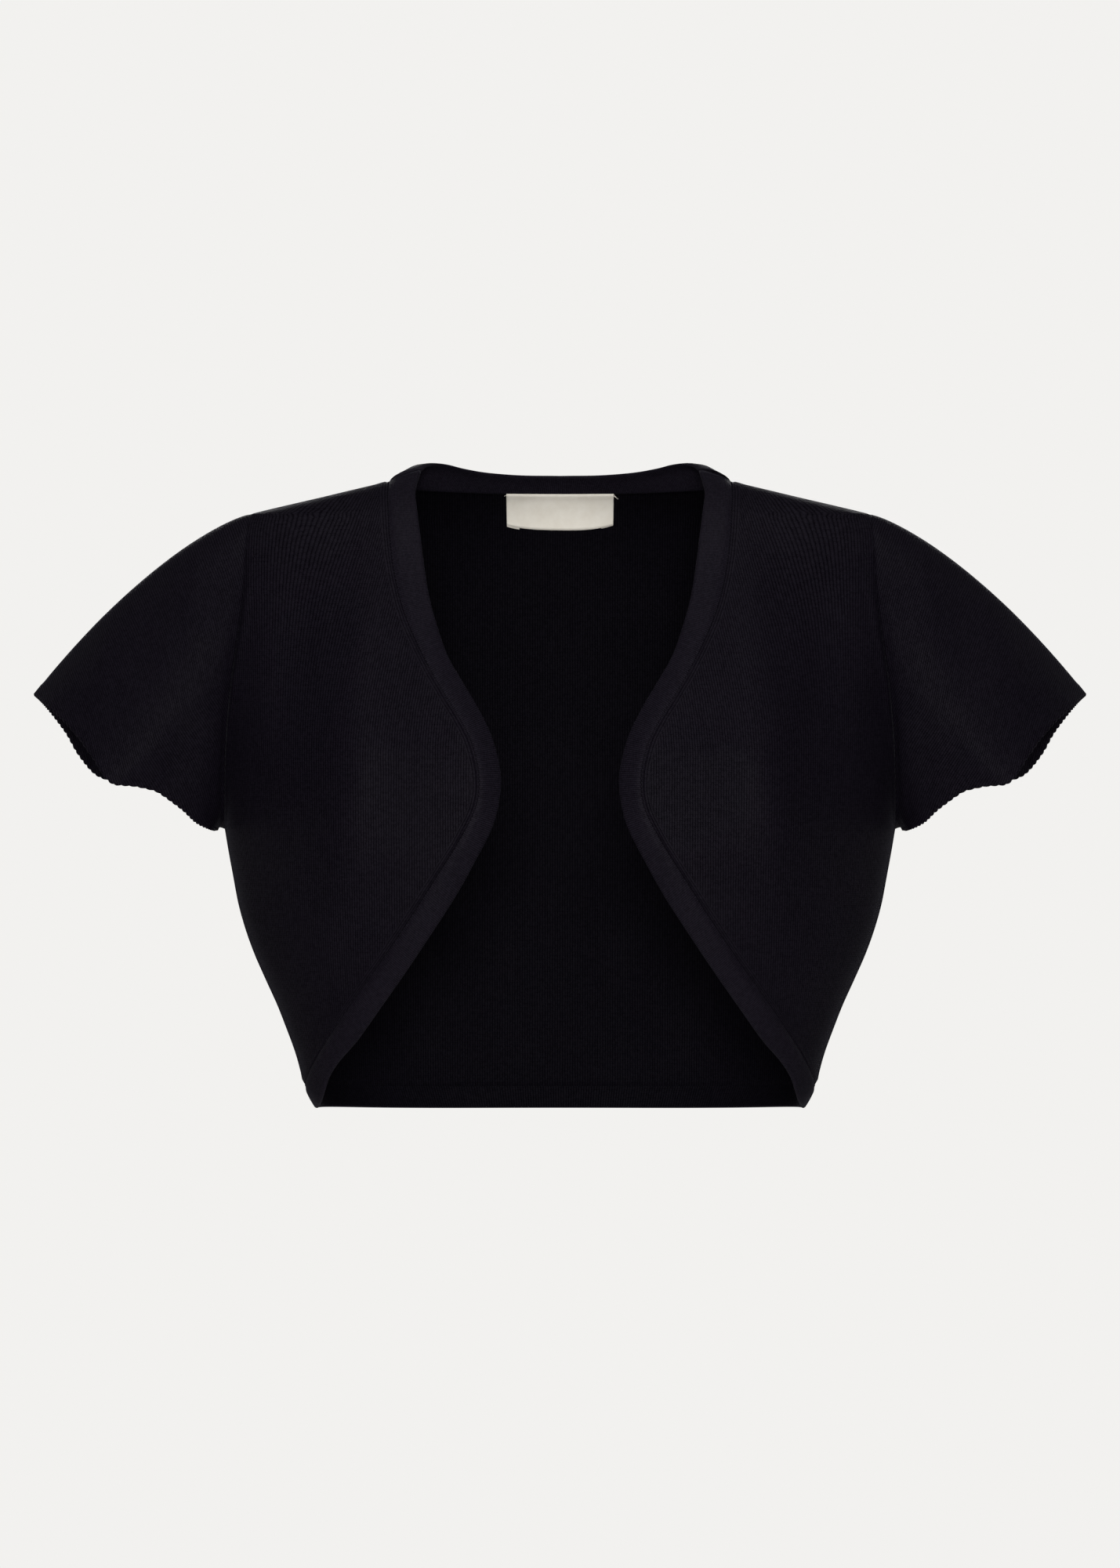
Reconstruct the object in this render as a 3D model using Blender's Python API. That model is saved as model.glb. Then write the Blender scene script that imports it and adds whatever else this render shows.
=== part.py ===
"""A short-sleeved knitted shrug, filled out as when it is worn, with nobody in it.

It is knitted in fine gauge and cut as a back, two fronts and two sleeves. One doubled band is
linked all round its edge: up each front, round the back of the neck and along the back hem.
A woven label is sewn inside the back neck.

The frame: +Z up, the fronts face -Y, +X is the wearer's left. The origin lies midway between the
shoulders, at the height and depth where they carry the garment. Lengths in the tables below are in
millimetres, and MM turns them into metres where a mesh is made.

The body is a stack of level sections. Each is an oval whose half width comes from the shoulder
slope, the armhole or the side seam, and whose front and back depths come from SECTIONS. A panel is
a grid of points on that body between its own seams. Its wall is that grid moved out and in along
the surface by half the cloth's thickness.
"""

import math

import bmesh
import bpy
import numpy as np

MM = 0.001

# cloth
PANEL_THICKNESS = 1.5
BAND_THICKNESS = 2.6
BAND_SEAM_SHARE = 0.6
LABEL_THICKNESS = 1.0
SEAM_GAP = 0.3

# shoulders: the crest runs straight down from the neck point to the shoulder point
NECK_POINT_X = 100.7
NECK_POINT_Z = 11.5
SHOULDER_POINT_X = 181.9
SHOULDER_POINT_Z = -8.1

# armhole: an oval loop, seen almost edge on from the front
UNDERARM_Z = -193.0
ARMHOLE_DEPTH_FRONT = 52.0
ARMHOLE_DEPTH_BACK = 50.0
ARMHOLE_MID_Z = 0.5 * (SHOULDER_POINT_Z + UNDERARM_Z)
ARMHOLE_HALF_Z = 0.5 * (SHOULDER_POINT_Z - UNDERARM_Z)

# hem band at the back
HEM_SEAM_X = 149.3
SIDE_SEAM_FOOT_Z = -343.5
HEM_SIDE_Z = -356.5
HEM_SAG = 3.2

# label
LABEL_WIDTH = 64.6
LABEL_TOP_Z = 7.3
LABEL_FOOT_Z = -9.6
LABEL_BELLY = 2.5
LABEL_GAP = 0.45
LABEL_LIFT = 1.2

# how many faces
ARMHOLE_ROWS = 18
SIDE_ROWS = 11
SHOULDER_COLUMNS = 9
NECK_COLUMNS = 8
SLEEVE_RINGS = 9
LABEL_ROWS = 4
LABEL_COLUMNS = 12
FINE = 400


def table(names, *rows):
    """A short table as one array for each named column."""
    columns = zip(*rows)
    return {name: np.array(column, float) for name, column in zip(names.split(), columns)}


# level sections of the body: how far it stands forward and back of the shoulder line, how much
# further back the nape stands, and how square the oval is (2 is an ellipse)
SECTIONS = table(
    "height front back nape square",
    (12.5, 0, 0, 36, 2.1),
    (11.5, 12, 13, 36, 2.1),
    (9.5, 24, 29, 36, 2.1),
    (6.5, 31, 40, 33, 2.1),
    (1.5, 38, 51, 28, 2.1),
    (-8, 48, 63, 23, 2.1),
    (-20, 58, 74, 17, 2.15),
    (-45, 75, 87, 9, 2.25),
    (-80, 93, 96, 3, 2.4),
    (-120, 106, 100, 0, 2.5),
    (-160, 113, 100, 0, 2.5),
    (-200, 114, 97, 0, 2.45),
    (-240, 110, 92, 0, 2.4),
    (-280, 104, 88, 0, 2.35),
    (-320, 99, 86, 0, 2.3),
    (-345, 96, 85, 0, 2.3),
    (-365, 94, 83, 0, 2.3),
)

# the side seam below the armhole
SIDE = table(
    "height half_width",
    (-193, 195.7),
    (-204, 193.9),
    (-221, 190.8),
    (-236, 187.9),
    (-251, 183.7),
    (-266, 178.3),
    (-280, 172.1),
    (-295, 165.3),
    (-310, 159.4),
    (-325, 154.0),
    (-339, 150.3),
    (-343.5, 149.3),
    (-350, 146.4),
    (-356.5, 142.4),
    (-365, 139.0),
)

# how far the armhole seam lies from the middle
ARMHOLE = table(
    "height half_width",
    (-193, 195.7),
    (-160, 195.6),
    (-139, 194.6),
    (-110, 192.0),
    (-82, 188.0),
    (-60, 185.2),
    (-35, 183.4),
    (-8.1, 181.9),
)

# the front band from the shoulder down to the side seam: its linked seam, its free edge, and how
# far the free edge turns in toward the body
FRONT_BAND = table(
    "seam_x seam_z free_x free_z turn",
    (100.7, 11.5, 81.7, 18.3, 0),
    (100.9, 4.6, 84.6, 5.4, 0),
    (100.3, -6, 83.4, -5.5, 0),
    (99.1, -21, 81.4, -20, 0),
    (97.0, -38.5, 79.1, -37, 0),
    (92.7, -58.5, 76.1, -55.5, 1),
    (86.9, -75, 72.1, -71, 3),
    (76.5, -97, 65.2, -91.5, 6),
    (67.1, -113.5, 56.5, -107, 8),
    (58.2, -128, 47.7, -122, 9),
    (50.9, -142.5, 39.4, -139, 9),
    (46.9, -160, 34.4, -160, 9),
    (47.5, -175, 35.3, -177, 8),
    (51.8, -187, 39.4, -192, 6),
    (60.6, -203, 49.1, -211, 4),
    (72.0, -221, 59.9, -230.5, 2),
    (85.1, -241.5, 73.1, -251, 1),
    (101.2, -265.5, 89.2, -275, 0),
    (117.3, -288, 105.3, -298, 0),
    (129.8, -306, 117.5, -315, 0),
    (138.6, -319.5, 127.6, -326.5, 0),
    (144.6, -330, 134.0, -336, 0),
    (147.8, -337.5, 137.4, -345, 0),
    (149.0, -341.5, 140.2, -353, 0),
    (149.3, -343.5, 142.4, -356.5, 0),
)

# the same band round the back of the neck, from the middle to the shoulder: its linked seam and its
# free edge seen from the front, how far it leans in, and how far it arches between them
NECK_BAND = table(
    "seam_x seam_z free_x free_z lean arch",
    (0, 8.0, 0, 17.2, 8.5, 0.8),
    (25, 8.1, 22, 17.3, 8.5, 0.8),
    (48, 8.4, 42, 18.4, 7.5, 1.2),
    (64, 8.8, 56, 20.4, 6.5, 2.2),
    (75, 9.2, 66, 22.6, 6, 3.6),
    (84, 9.7, 73.4, 22.9, 5, 4.9),
    (92, 10.4, 78.6, 21.4, 3.4, 4.6),
    (100.7, 11.5, 81.7, 18.3, 0, 1.8),
)

# the sleeve's hem by angle round the arm, 0 at the top and 90 in front: how far it has come along
# the line from its tip to the underarm, how far it hangs below that line, and its depth
SLEEVE_TIP = np.array([308.6, -113.3])
SLEEVE_HEM_LINE = np.array([-0.813, -0.582])
SLEEVE_HEM_DROP = np.array([0.582, -0.813])
SLEEVE_HEM = table(
    "angle along drop depth",
    (0, 0, 0, 0),
    (25, 7.5, 0.2, -24),
    (45, 21.9, 0.9, -42),
    (60, 36.9, 3.6, -53),
    (75, 53.8, 8.9, -62),
    (88, 69, 13.9, -66),
    (100, 81.8, 7.6, -62),
    (112, 96, 2.6, -55),
    (125, 110.2, 2.9, -49),
    (140, 122.5, 4.6, -43),
    (155, 131, 3.4, -32),
    (168, 132.5, 3.0, -16.5),
    (180, 130.5, 3.8, 0),
    (192, 132.5, 3.0, 16.5),
    (205, 129.6, 4.6, 32),
    (220, 118, 6.4, 43),
    (235, 103.8, 4.9, 49),
    (250, 88.5, 5.3, 55),
    (265, 71.2, 13.4, 62),
    (280, 54.1, 19.1, 64),
    (295, 40, 15.7, 56),
    (310, 25.4, 8.6, 44),
    (332, 8.3, 2.6, 25),
)
# how far the sleeve bulges beyond a straight run to its hem: at the top, in front and behind, and
# at the underarm, where it bows in toward the arm. A lean below 1 moves the bulge to the shoulder.
SLEEVE_BULGE_TOP = 10.8
SLEEVE_BULGE_SIDE = 6.0
SLEEVE_BULGE_UNDERARM = -2.5
SLEEVE_BULGE_LEAN = 0.8
SLEEVE_UP = np.array([0.64, 0, 0.77])

# soft folds, each a ridge or, with a negative rise, a trough along a line seen from the front
FRONT_FOLDS = table(
    "top_x top_z foot_x foot_z rise reach",
    (104, -15, 114, -88, 3.2, 15),
    (114, -88, 120, -150, 4.8, 18),
    (120, -150, 123, -225, 4.0, 18),
    (122, -178, 158, -228, 2.4, 13),
    (124, -205, 148, -290, 2.6, 15),
    (152, -45, 156, -140, -4.2, 20),
    (66, -150, 104, -143, 1.5, 12),
    (92, -215, 120, -262, -1.6, 14),
)
BACK_FOLDS = table(
    "top_x top_z foot_x foot_z rise reach",
    (128, -60, 104, -210, 3.2, 17),
    (158, -70, 150, -150, -3.2, 18),
    (104, -210, 96, -320, 2.4, 18),
    (150, -215, 134, -300, 1.8, 14),
    (0, -150, 0, -320, -3.6, 26),
    (60, -265, 62, -340, -1.8, 16),
)
# the soft fullness of each front on a general figure
FULLNESS = {"x": 114.0, "z": -176.0, "rise": 17.0, "inner": 39.0, "outer": 52.0, "high": 80.0}
NAPE_WIDTH = 95.0

# sRGB colours of the yarn and the woven label
YARN_COLOUR = (0.0065, 0.0055, 0.0085, 1.0)
LABEL_COLOUR = (0.78, 0.74, 0.66, 1.0)
YARN_ROUGHNESS = 0.9
LABEL_ROUGHNESS = 0.6


def smooth(xs, ys, at):
    """A curve through the rows of a table that never swings past them (a monotone cubic)."""
    order = np.argsort(xs)
    xs = xs[order]
    ys = ys[order]
    at = np.clip(at, xs[0], xs[-1])
    step = np.diff(xs)
    slope = np.diff(ys) / step
    tangent = np.zeros(len(xs))
    same = slope[:-1] * slope[1:] > 0
    before = 2 * step[1:] + step[:-1]
    after = step[1:] + 2 * step[:-1]
    safe_left = np.where(same, slope[:-1], 1.0)
    safe_right = np.where(same, slope[1:], 1.0)
    tangent[1:-1] = np.where(same, (before + after) / (before / safe_left + after / safe_right), 0)
    tangent[0] = slope[0]
    tangent[-1] = slope[-1]
    place = np.clip(np.searchsorted(xs, at, side="right") - 1, 0, len(step) - 1)
    h = step[place]
    t = (at - xs[place]) / h
    return (
        ys[place] * (1 + 2 * t) * (1 - t) ** 2
        + tangent[place] * h * t * (1 - t) ** 2
        + ys[place + 1] * t * t * (3 - 2 * t)
        + tangent[place + 1] * h * t * t * (t - 1)
    )


def through(points, at):
    """A round curve through a list of points, by their numbers (a Catmull-Rom spline)."""
    points = np.asarray(points, float)
    padded = np.vstack([2 * points[0] - points[1], points, 2 * points[-1] - points[-2]])
    place = np.clip(np.floor(at).astype(int), 0, len(points) - 2)
    t = (at - place)[:, None]
    a, b, c, d = (padded[place + k] for k in range(4))
    return 0.5 * (
        2 * b
        + (c - a) * t
        + (2 * a - 5 * b + 4 * c - d) * t**2
        + (3 * b - 3 * c + d - a) * t**3
    )


def lengths_along(points):
    """The distance from the first point to each point of a line."""
    steps = np.linalg.norm(np.diff(points, axis=0), axis=1)
    return np.concatenate([[0], np.cumsum(steps)])


def spread(points, shares):
    """Points of a line at the given shares of its length."""
    reached = lengths_along(points)
    at = np.asarray(shares) * reached[-1]
    return np.stack([np.interp(at, reached, points[:, k]) for k in range(3)], axis=1)


def unit(vectors):
    size = np.linalg.norm(vectors, axis=-1, keepdims=True)
    return vectors / np.maximum(size, 1e-9)


# the body's surface


def section(name, z):
    return smooth(SECTIONS["height"], SECTIONS[name], z)


def crest_z(x):
    """The height of the shoulder crest at a width."""
    slope = (SHOULDER_POINT_Z - NECK_POINT_Z) / (SHOULDER_POINT_X - NECK_POINT_X)
    return NECK_POINT_Z + slope * (x - NECK_POINT_X)


def armhole_depth(z, deepest):
    share = np.clip((z - ARMHOLE_MID_Z) / ARMHOLE_HALF_Z, -1, 1)
    return deepest * np.sqrt(1 - share**2)


def armhole_x(z):
    return smooth(ARMHOLE["height"], ARMHOLE["half_width"], z)


def half_width(z, face):
    """How wide the oval of a section is: the crest above the shoulder point, the side seam below
    the underarm and, between them, the width that brings the oval through the armhole seam."""
    square = section("square", z)
    deepest = ARMHOLE_DEPTH_FRONT if face == "front" else ARMHOLE_DEPTH_BACK
    depth = np.maximum(section(face, z), 1e-3)
    inner = np.clip(armhole_depth(z, deepest) / depth, 0, 0.95)
    at_armhole = armhole_x(z) / (1 - inner**square) ** (1 / square)
    slope = (SHOULDER_POINT_X - NECK_POINT_X) / (SHOULDER_POINT_Z - NECK_POINT_Z)
    at_crest = NECK_POINT_X + slope * (z - NECK_POINT_Z)
    at_side = smooth(SIDE["height"], SIDE["half_width"], z)
    return np.where(z >= SHOULDER_POINT_Z, at_crest, np.where(z <= UNDERARM_Z, at_side, at_armhole))


def folds(rows, x, z):
    """How far the soft folds stand out at a place seen from the front."""
    total = np.zeros(np.broadcast(x, z).shape)
    for top_x, top_z, foot_x, foot_z, rise, reach in zip(*rows.values()):
        run_x = foot_x - top_x
        run_z = foot_z - top_z
        length = math.hypot(run_x, run_z)
        along = ((x - top_x) * run_x + (z - top_z) * run_z) / length**2
        nearest = np.clip(along, 0.2, 0.8)
        away = np.hypot(x - top_x - nearest * run_x, z - top_z - nearest * run_z)
        total = total + rise * np.exp(-((away / reach) ** 2))
    return total


def edge_x(z, face):
    """How far a panel reaches: to the crest, the armhole seam or the side seam."""
    beside_armhole = (z < SHOULDER_POINT_Z) & (z > UNDERARM_Z)
    return np.where(beside_armhole, armhole_x(z), half_width(z, face))


def depth_at(x, z, face):
    """How far the cloth stands in front of, or behind, the shoulder line."""
    x = np.abs(x)
    square = section("square", z)
    share = np.clip(x / half_width(z, face), 0, 1)
    depth = section(face, z) * (1 - share**square) ** (1 / square)
    inside = 1 - np.clip(x / edge_x(z, face), 0, 1) ** 6
    if face == "front":
        wide = np.where(x < FULLNESS["x"], FULLNESS["inner"], FULLNESS["outer"])
        across = (x - FULLNESS["x"]) / wide
        up = (z - FULLNESS["z"]) / FULLNESS["high"]
        fullness = FULLNESS["rise"] * np.exp(-(across**2) - up**2)
        return depth + (fullness + folds(FRONT_FOLDS, x, z)) * inside
    nape = section("nape", z) * np.exp(-((x / NAPE_WIDTH) ** 2)) * (1 - share**2)
    return depth + (nape + folds(BACK_FOLDS, x, z)) * inside


def on_body(x, z, face):
    """Points of the body's surface at widths and heights seen from the front."""
    x, z = np.broadcast_arrays(np.asarray(x, float), np.asarray(z, float))
    depth = depth_at(x, z, face)
    return np.stack([x, -depth if face == "front" else depth, z], axis=-1)


# the seams


def outer_edge():
    """Widths and heights of the armhole seam and then the side seam, from the top down."""
    turn = np.linspace(0, math.pi, ARMHOLE_ROWS + 1)
    armhole_z = ARMHOLE_MID_Z + ARMHOLE_HALF_Z * np.cos(turn)
    side_z = np.linspace(UNDERARM_Z, SIDE_SEAM_FOOT_Z, SIDE_ROWS + 1)[1:]
    z = np.concatenate([armhole_z, side_z])
    x = np.where(z >= UNDERARM_Z, armhole_x(z), half_width(z, "front"))
    return x, z


def front_seam(shares):
    """The seam that joins a front to its band, by shares of its length from the shoulder."""
    rows = np.stack([FRONT_BAND["seam_x"], FRONT_BAND["seam_z"]], axis=1)
    flat = through(rows, np.linspace(0, len(rows) - 1, FINE))
    line = on_body(flat[:, 0], flat[:, 1], "front")
    line[0, 1] = 0
    line[-1, 1] = 0
    return spread(line, shares)


def front_free_edge(seam):
    """The band's free edge, a point for each point of its seam."""
    rows = on_body(FRONT_BAND["free_x"], FRONT_BAND["free_z"], "front")
    rows[:, 1] += FRONT_BAND["turn"]
    rows[0, 1] = 0
    rows[-1, 1] = 0
    partners = on_body(FRONT_BAND["seam_x"], FRONT_BAND["seam_z"], "front")
    partners[[0, -1], 1] = 0
    at = match(partners, seam)
    return through(rows, at)


def match(stations, points):
    """The number of the station that each point of a line has come to, with its fraction."""
    fine = np.linspace(0, len(stations) - 1, FINE)
    line = through(stations, fine)
    reached = lengths_along(line)
    own = lengths_along(points)
    return np.interp(own / own[-1] * reached[-1], reached, fine)


def neck_seam():
    """The seam of the band at the back of the neck, from the neck point to the middle."""
    rows = np.stack([NECK_BAND["seam_x"], NECK_BAND["seam_z"]], axis=1)
    flat = through(rows, np.linspace(len(rows) - 1, 0, FINE))
    line = on_body(flat[:, 0], flat[:, 1], "back")
    line[0, 1] = 0
    return line


def hem_seam_z(x):
    """The height of the seam along the back hem: it hangs a little lower in the middle."""
    share = np.clip(np.abs(x) / HEM_SEAM_X, 0, 1)
    return SIDE_SEAM_FOOT_Z - HEM_SAG * (1 - share**4)


# the panels, each a grid of points


def front_grid():
    """The wearer's left front: rows run from the armhole and side seam to the band's seam."""
    outer_x, outer_z = outer_edge()
    rows = len(outer_x)
    fine = front_seam(np.linspace(0, 1, FINE))
    at_underarm = np.argmin(np.abs(fine[:, 2] - UNDERARM_Z)) / (FINE - 1)
    corner = 0.905
    upper = np.linspace(0, at_underarm, ARMHOLE_ROWS + 1)
    lower = np.linspace(at_underarm, corner, SIDE_ROWS + 1)[1:]
    seam = front_seam(np.concatenate([upper, lower]))
    columns = SHOULDER_COLUMNS + 1
    grid = np.zeros((rows, columns, 3))
    crowd = 1 - np.cos(np.linspace(0, 0.5 * math.pi, FINE))
    for row in range(rows):
        x = outer_x[row] + (seam[row, 0] - outer_x[row]) * crowd
        z = outer_z[row] + (seam[row, 2] - outer_z[row]) * crowd
        line = on_body(x, z, "front")
        line[-1] = seam[row]
        grid[row] = spread(line, np.linspace(0, 1, columns))
    grid[0, :, 1] = 0
    grid[ARMHOLE_ROWS:, 0, 1] = 0
    grid[-1] = front_seam(np.linspace(1, corner, columns))
    return grid


def back_grid():
    """Half of the back: rows run from the armhole and side seam to the middle."""
    outer_x, outer_z = outer_edge()
    neck = neck_seam()
    shoulder = on_body(
        np.linspace(SHOULDER_POINT_X, NECK_POINT_X, FINE),
        crest_z(np.linspace(SHOULDER_POINT_X, NECK_POINT_X, FINE)),
        "back",
    )
    shoulder[:, 1] = 0
    top = np.vstack([shoulder, neck[1:]])
    corner = lengths_along(shoulder)[-1] / lengths_along(top)[-1]
    shares = np.concatenate(
        [np.linspace(0, corner, SHOULDER_COLUMNS + 1), np.linspace(corner, 1, NECK_COLUMNS + 1)[1:]]
    )
    grid = np.zeros((len(outer_x), len(shares), 3))
    for row in range(len(outer_x)):
        settle = np.clip((SHOULDER_POINT_Z - outer_z[row]) / 90, 0, 1)
        settle = settle * settle * (3 - 2 * settle)
        sink = np.clip((outer_z[row] - UNDERARM_Z) / (SIDE_SEAM_FOOT_Z - UNDERARM_Z), 0, 1)
        x = top[:, 0] / SHOULDER_POINT_X * outer_x[row]
        crowd = np.sin(np.linspace(0.5 * math.pi, 0, len(x)))
        x = x * (1 - settle) + outer_x[row] * crowd * settle
        above = np.interp(x / outer_x[row] * SHOULDER_POINT_X, top[::-1, 0], top[::-1, 2])
        z = outer_z[row] + (above - SHOULDER_POINT_Z) * (1 - settle)
        z = z + (hem_seam_z(x) - SIDE_SEAM_FOOT_Z) * sink
        line = on_body(x, z, "back")
        if row == 0:
            line = top
        grid[row] = spread(line, shares)
    grid[ARMHOLE_ROWS:, 0, 1] = 0
    return grid


def whole(half):
    """Both halves of a grid whose last column lies in the middle."""
    other = half[:, :-1][:, ::-1] * np.array([-1, 1, 1])
    return np.concatenate([half, other], axis=1)


def sleeve_grid(front, back):
    """The wearer's left sleeve: rings from the armhole out to the hem, columns round the arm from
    the top over the front. It bulges between its two ends, most near the shoulder."""
    armhole = np.concatenate([front[: ARMHOLE_ROWS + 1, 0], back[1:ARMHOLE_ROWS, 0][::-1]])
    angle = np.linspace(0, 360, 2 * ARMHOLE_ROWS, endpoint=False)
    turns = np.concatenate([SLEEVE_HEM["angle"] + turn for turn in (-360, 0, 360)])
    around = {}
    for name in ("along", "drop", "depth"):
        around[name] = smooth(turns, np.tile(SLEEVE_HEM[name], 3), angle)
    flat = SLEEVE_TIP + around["along"][:, None] * SLEEVE_HEM_LINE
    flat = flat + around["drop"][:, None] * SLEEVE_HEM_DROP
    hem = np.stack([flat[:, 0], around["depth"], flat[:, 1]], axis=1)
    cos = np.cos(np.radians(angle))[:, None]
    sin = np.sin(np.radians(angle))[:, None]
    out = cos * SLEEVE_UP + sin * np.array([0, -1.0, 0])
    tilt = 0.5 * (SLEEVE_BULGE_TOP - SLEEVE_BULGE_UNDERARM)
    pinch = 0.5 * (SLEEVE_BULGE_TOP + SLEEVE_BULGE_UNDERARM) - SLEEVE_BULGE_SIDE
    bulge = SLEEVE_BULGE_SIDE + tilt * cos + pinch * cos**2
    lead = 0.25 * (1 - cos)
    rings = []
    for step in np.linspace(0, 1, SLEEVE_RINGS + 1):
        share = step + lead * step * (1 - step)
        early = share**SLEEVE_BULGE_LEAN
        rings.append((1 - share) * armhole + share * hem + 4 * early * (1 - early) * bulge * out)
    return np.array(rings)


def normals_of(grid, closed=False):
    """The way the surface faces at each point of a grid, from the quads round it."""
    if closed:
        grid = np.concatenate([grid, grid[:, :1]], axis=1)
    facing = np.cross(grid[1:, :-1] - grid[:-1, 1:], grid[1:, 1:] - grid[:-1, :-1])
    total = np.zeros(grid.shape)
    for down in (slice(None, -1), slice(1, None)):
        for across in (slice(None, -1), slice(1, None)):
            total[down, across] += facing
    if closed:
        total[:, 0] += total[:, -1]
        total = total[:, :-1]
    return unit(total)


class Panel:
    """A piece of cloth: its grid of points and the way that the cloth faces at each of them."""

    def __init__(self, grid, normals, closed=False):
        self.grid = grid
        self.normals = normals
        self.closed = closed
        self.lean = np.ones(grid.shape[:2])

    def other_side(self):
        return Panel(mirrored(self.grid), mirrored(self.normals), self.closed)


def mirrored(points):
    return points * np.array([-1, 1, 1])


# the bands, each a rounded strip between two lines


class Band:
    """A doubled band: the line of its linked seam, its folded free edge and the way it faces."""

    def __init__(self, seam, free, arch, outward):
        self.seam = seam
        self.free = free
        self.arch = np.broadcast_to(arch, (len(seam),))[:, None]
        self.facing = outward * unit(np.cross(free - seam, np.gradient(seam + free, axis=0)))
        self.seam_facing = self.facing
        self.lean = np.ones(len(seam))

    def other_side(self):
        band = Band(mirrored(self.seam), mirrored(self.free), self.arch[:, 0], 1)
        band.facing = mirrored(self.facing)
        band.seam_facing = band.facing
        return band

    def rings(self):
        """Rings of points round the band: out along its face, round the fold and back inside."""
        half = 0.5 * BAND_THICKNESS
        across = self.free - self.seam
        fold = 1 - half / np.linalg.norm(across, axis=1, keepdims=True)
        gap = 0.5 * SEAM_GAP / np.linalg.norm(across, axis=1, keepdims=True)
        gap = gap / np.clip(self.lean, 0.35, 1)[:, None]
        shares = (gap, 0.5, fold, 1, fold, 0.5, gap)
        sides = (BAND_SEAM_SHARE, 1, 0.8, 0, -0.8, -1, -BAND_SEAM_SHARE)
        points = []
        for place, (share, side) in enumerate(zip(shares, sides)):
            facing = self.seam_facing if place in (0, 6) else self.facing
            middle = self.seam + share * across + 4 * share * (1 - share) * self.arch * self.facing
            points.append(middle + side * half * facing)
        rings = np.stack(points, axis=1)
        rings[0] += 0.5 * SEAM_GAP * unit(rings[1] - rings[0])
        rings[-1] += 0.5 * SEAM_GAP * unit(rings[-2] - rings[-1])
        return rings


def front_band(front):
    line = np.concatenate([front[:, -1], front[-1, :-1][::-1]])
    return Band(line, front_free_edge(line), 0.5, 1)


def neck_band(back):
    line = back[0, SHOULDER_COLUMNS : SHOULDER_COLUMNS + 2 * NECK_COLUMNS + 1]
    half = line[: NECK_COLUMNS + 1]
    seam = on_body(NECK_BAND["seam_x"], NECK_BAND["seam_z"], "back")[::-1]
    seam[0, 1] = 0
    at = match(seam, half)
    free = np.stack([NECK_BAND["free_x"], -NECK_BAND["lean"], NECK_BAND["free_z"]], axis=1)[::-1]
    free[:, 1] += seam[:, 1]
    free = through(free, at)
    arch = np.interp(at, np.arange(len(seam)), NECK_BAND["arch"][::-1])
    free = np.concatenate([free, mirrored(free[:-1])[::-1]])
    return Band(line, free, np.concatenate([arch, arch[:-1][::-1]]), -1)


def hem_band(back):
    line = back[-1]
    x = line[:, 0] * half_width(HEM_SIDE_Z, "back") / half_width(SIDE_SEAM_FOOT_Z, "back")
    z = hem_seam_z(line[:, 0]) + HEM_SIDE_Z - SIDE_SEAM_FOOT_Z
    free = on_body(x, z, "back")
    free[[0, -1], 1] = 0
    return Band(line, free, 0.4, 1)


def label_grid():
    """The label hangs from the neck seam inside the back, a little proud of it at its foot."""
    x = np.linspace(0.5 * LABEL_WIDTH, -0.5 * LABEL_WIDTH, LABEL_COLUMNS + 1)
    foot = LABEL_FOOT_Z - LABEL_BELLY * (1 - (2 * x / LABEL_WIDTH) ** 2)
    share = np.linspace(0, 1, LABEL_ROWS + 1)[:, None]
    grid = on_body(x, LABEL_TOP_Z + share * (foot - LABEL_TOP_Z), "back")
    inward = 0.5 * (PANEL_THICKNESS + LABEL_THICKNESS) + LABEL_GAP + LABEL_LIFT * share**2
    return grid - inward[..., None] * normals_of(grid)


# seams


def share_normals(panels, bands):
    """Where pieces meet they face the same way, so that their edges lie side by side."""
    parts = [(panel.grid, panel.normals) for panel in panels]
    parts += [(band.seam, band.facing) for band in bands]
    parts += [(band.free, band.facing) for band in bands]
    points = np.concatenate([part[0].reshape(-1, 3) for part in parts])
    facing = np.concatenate([part[1].reshape(-1, 3) for part in parts])
    group = np.unique(np.round(points, 3), axis=0, return_inverse=True)[1].reshape(-1)
    total = np.zeros((group.max() + 1, 3))
    np.add.at(total, group, facing)
    shared = unit(total)[group]
    lean = np.sum(shared * facing, axis=1)
    cuts = np.cumsum([part[1].size // 3 for part in parts])[:-1]
    shared = np.split(shared, cuts)
    lean = np.split(lean, cuts)
    for number, panel in enumerate(panels):
        panel.normals = shared[number].reshape(panel.grid.shape)
        panel.lean = lean[number].reshape(panel.lean.shape)
    for number, band in enumerate(bands, len(panels)):
        band.seam_facing = shared[number]
        band.lean = lean[number]
        band.facing = shared[number + len(bands)]


def into_panel(edge, neighbours, facing):
    """The way into a panel from each point of its edge, square to the edge."""
    side = unit(np.cross(facing, np.gradient(edge, axis=0)))
    return side * np.sign(np.sum(side * (neighbours - edge)))


def open_seams(panel):
    """Draws a panel's sewn edges in by half the gap, and more where the seam is a sharp crease."""
    grid = panel.grid
    facing = panel.normals
    gap = 0.5 * SEAM_GAP / np.clip(panel.lean, 0.35, 1)[..., None]
    moved = grid.copy()
    moved[0] += into_panel(grid[0], grid[1], facing[0]) * gap[0]
    if not panel.closed:
        moved[-1] += into_panel(grid[-1], grid[-2], facing[-1]) * gap[-1]
        moved[:, 0] += into_panel(grid[:, 0], grid[:, 1], facing[:, 0]) * gap[:, 0]
        moved[:, -1] += into_panel(grid[:, -1], grid[:, -2], facing[:, -1]) * gap[:, -1]
    return moved


# meshes


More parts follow.
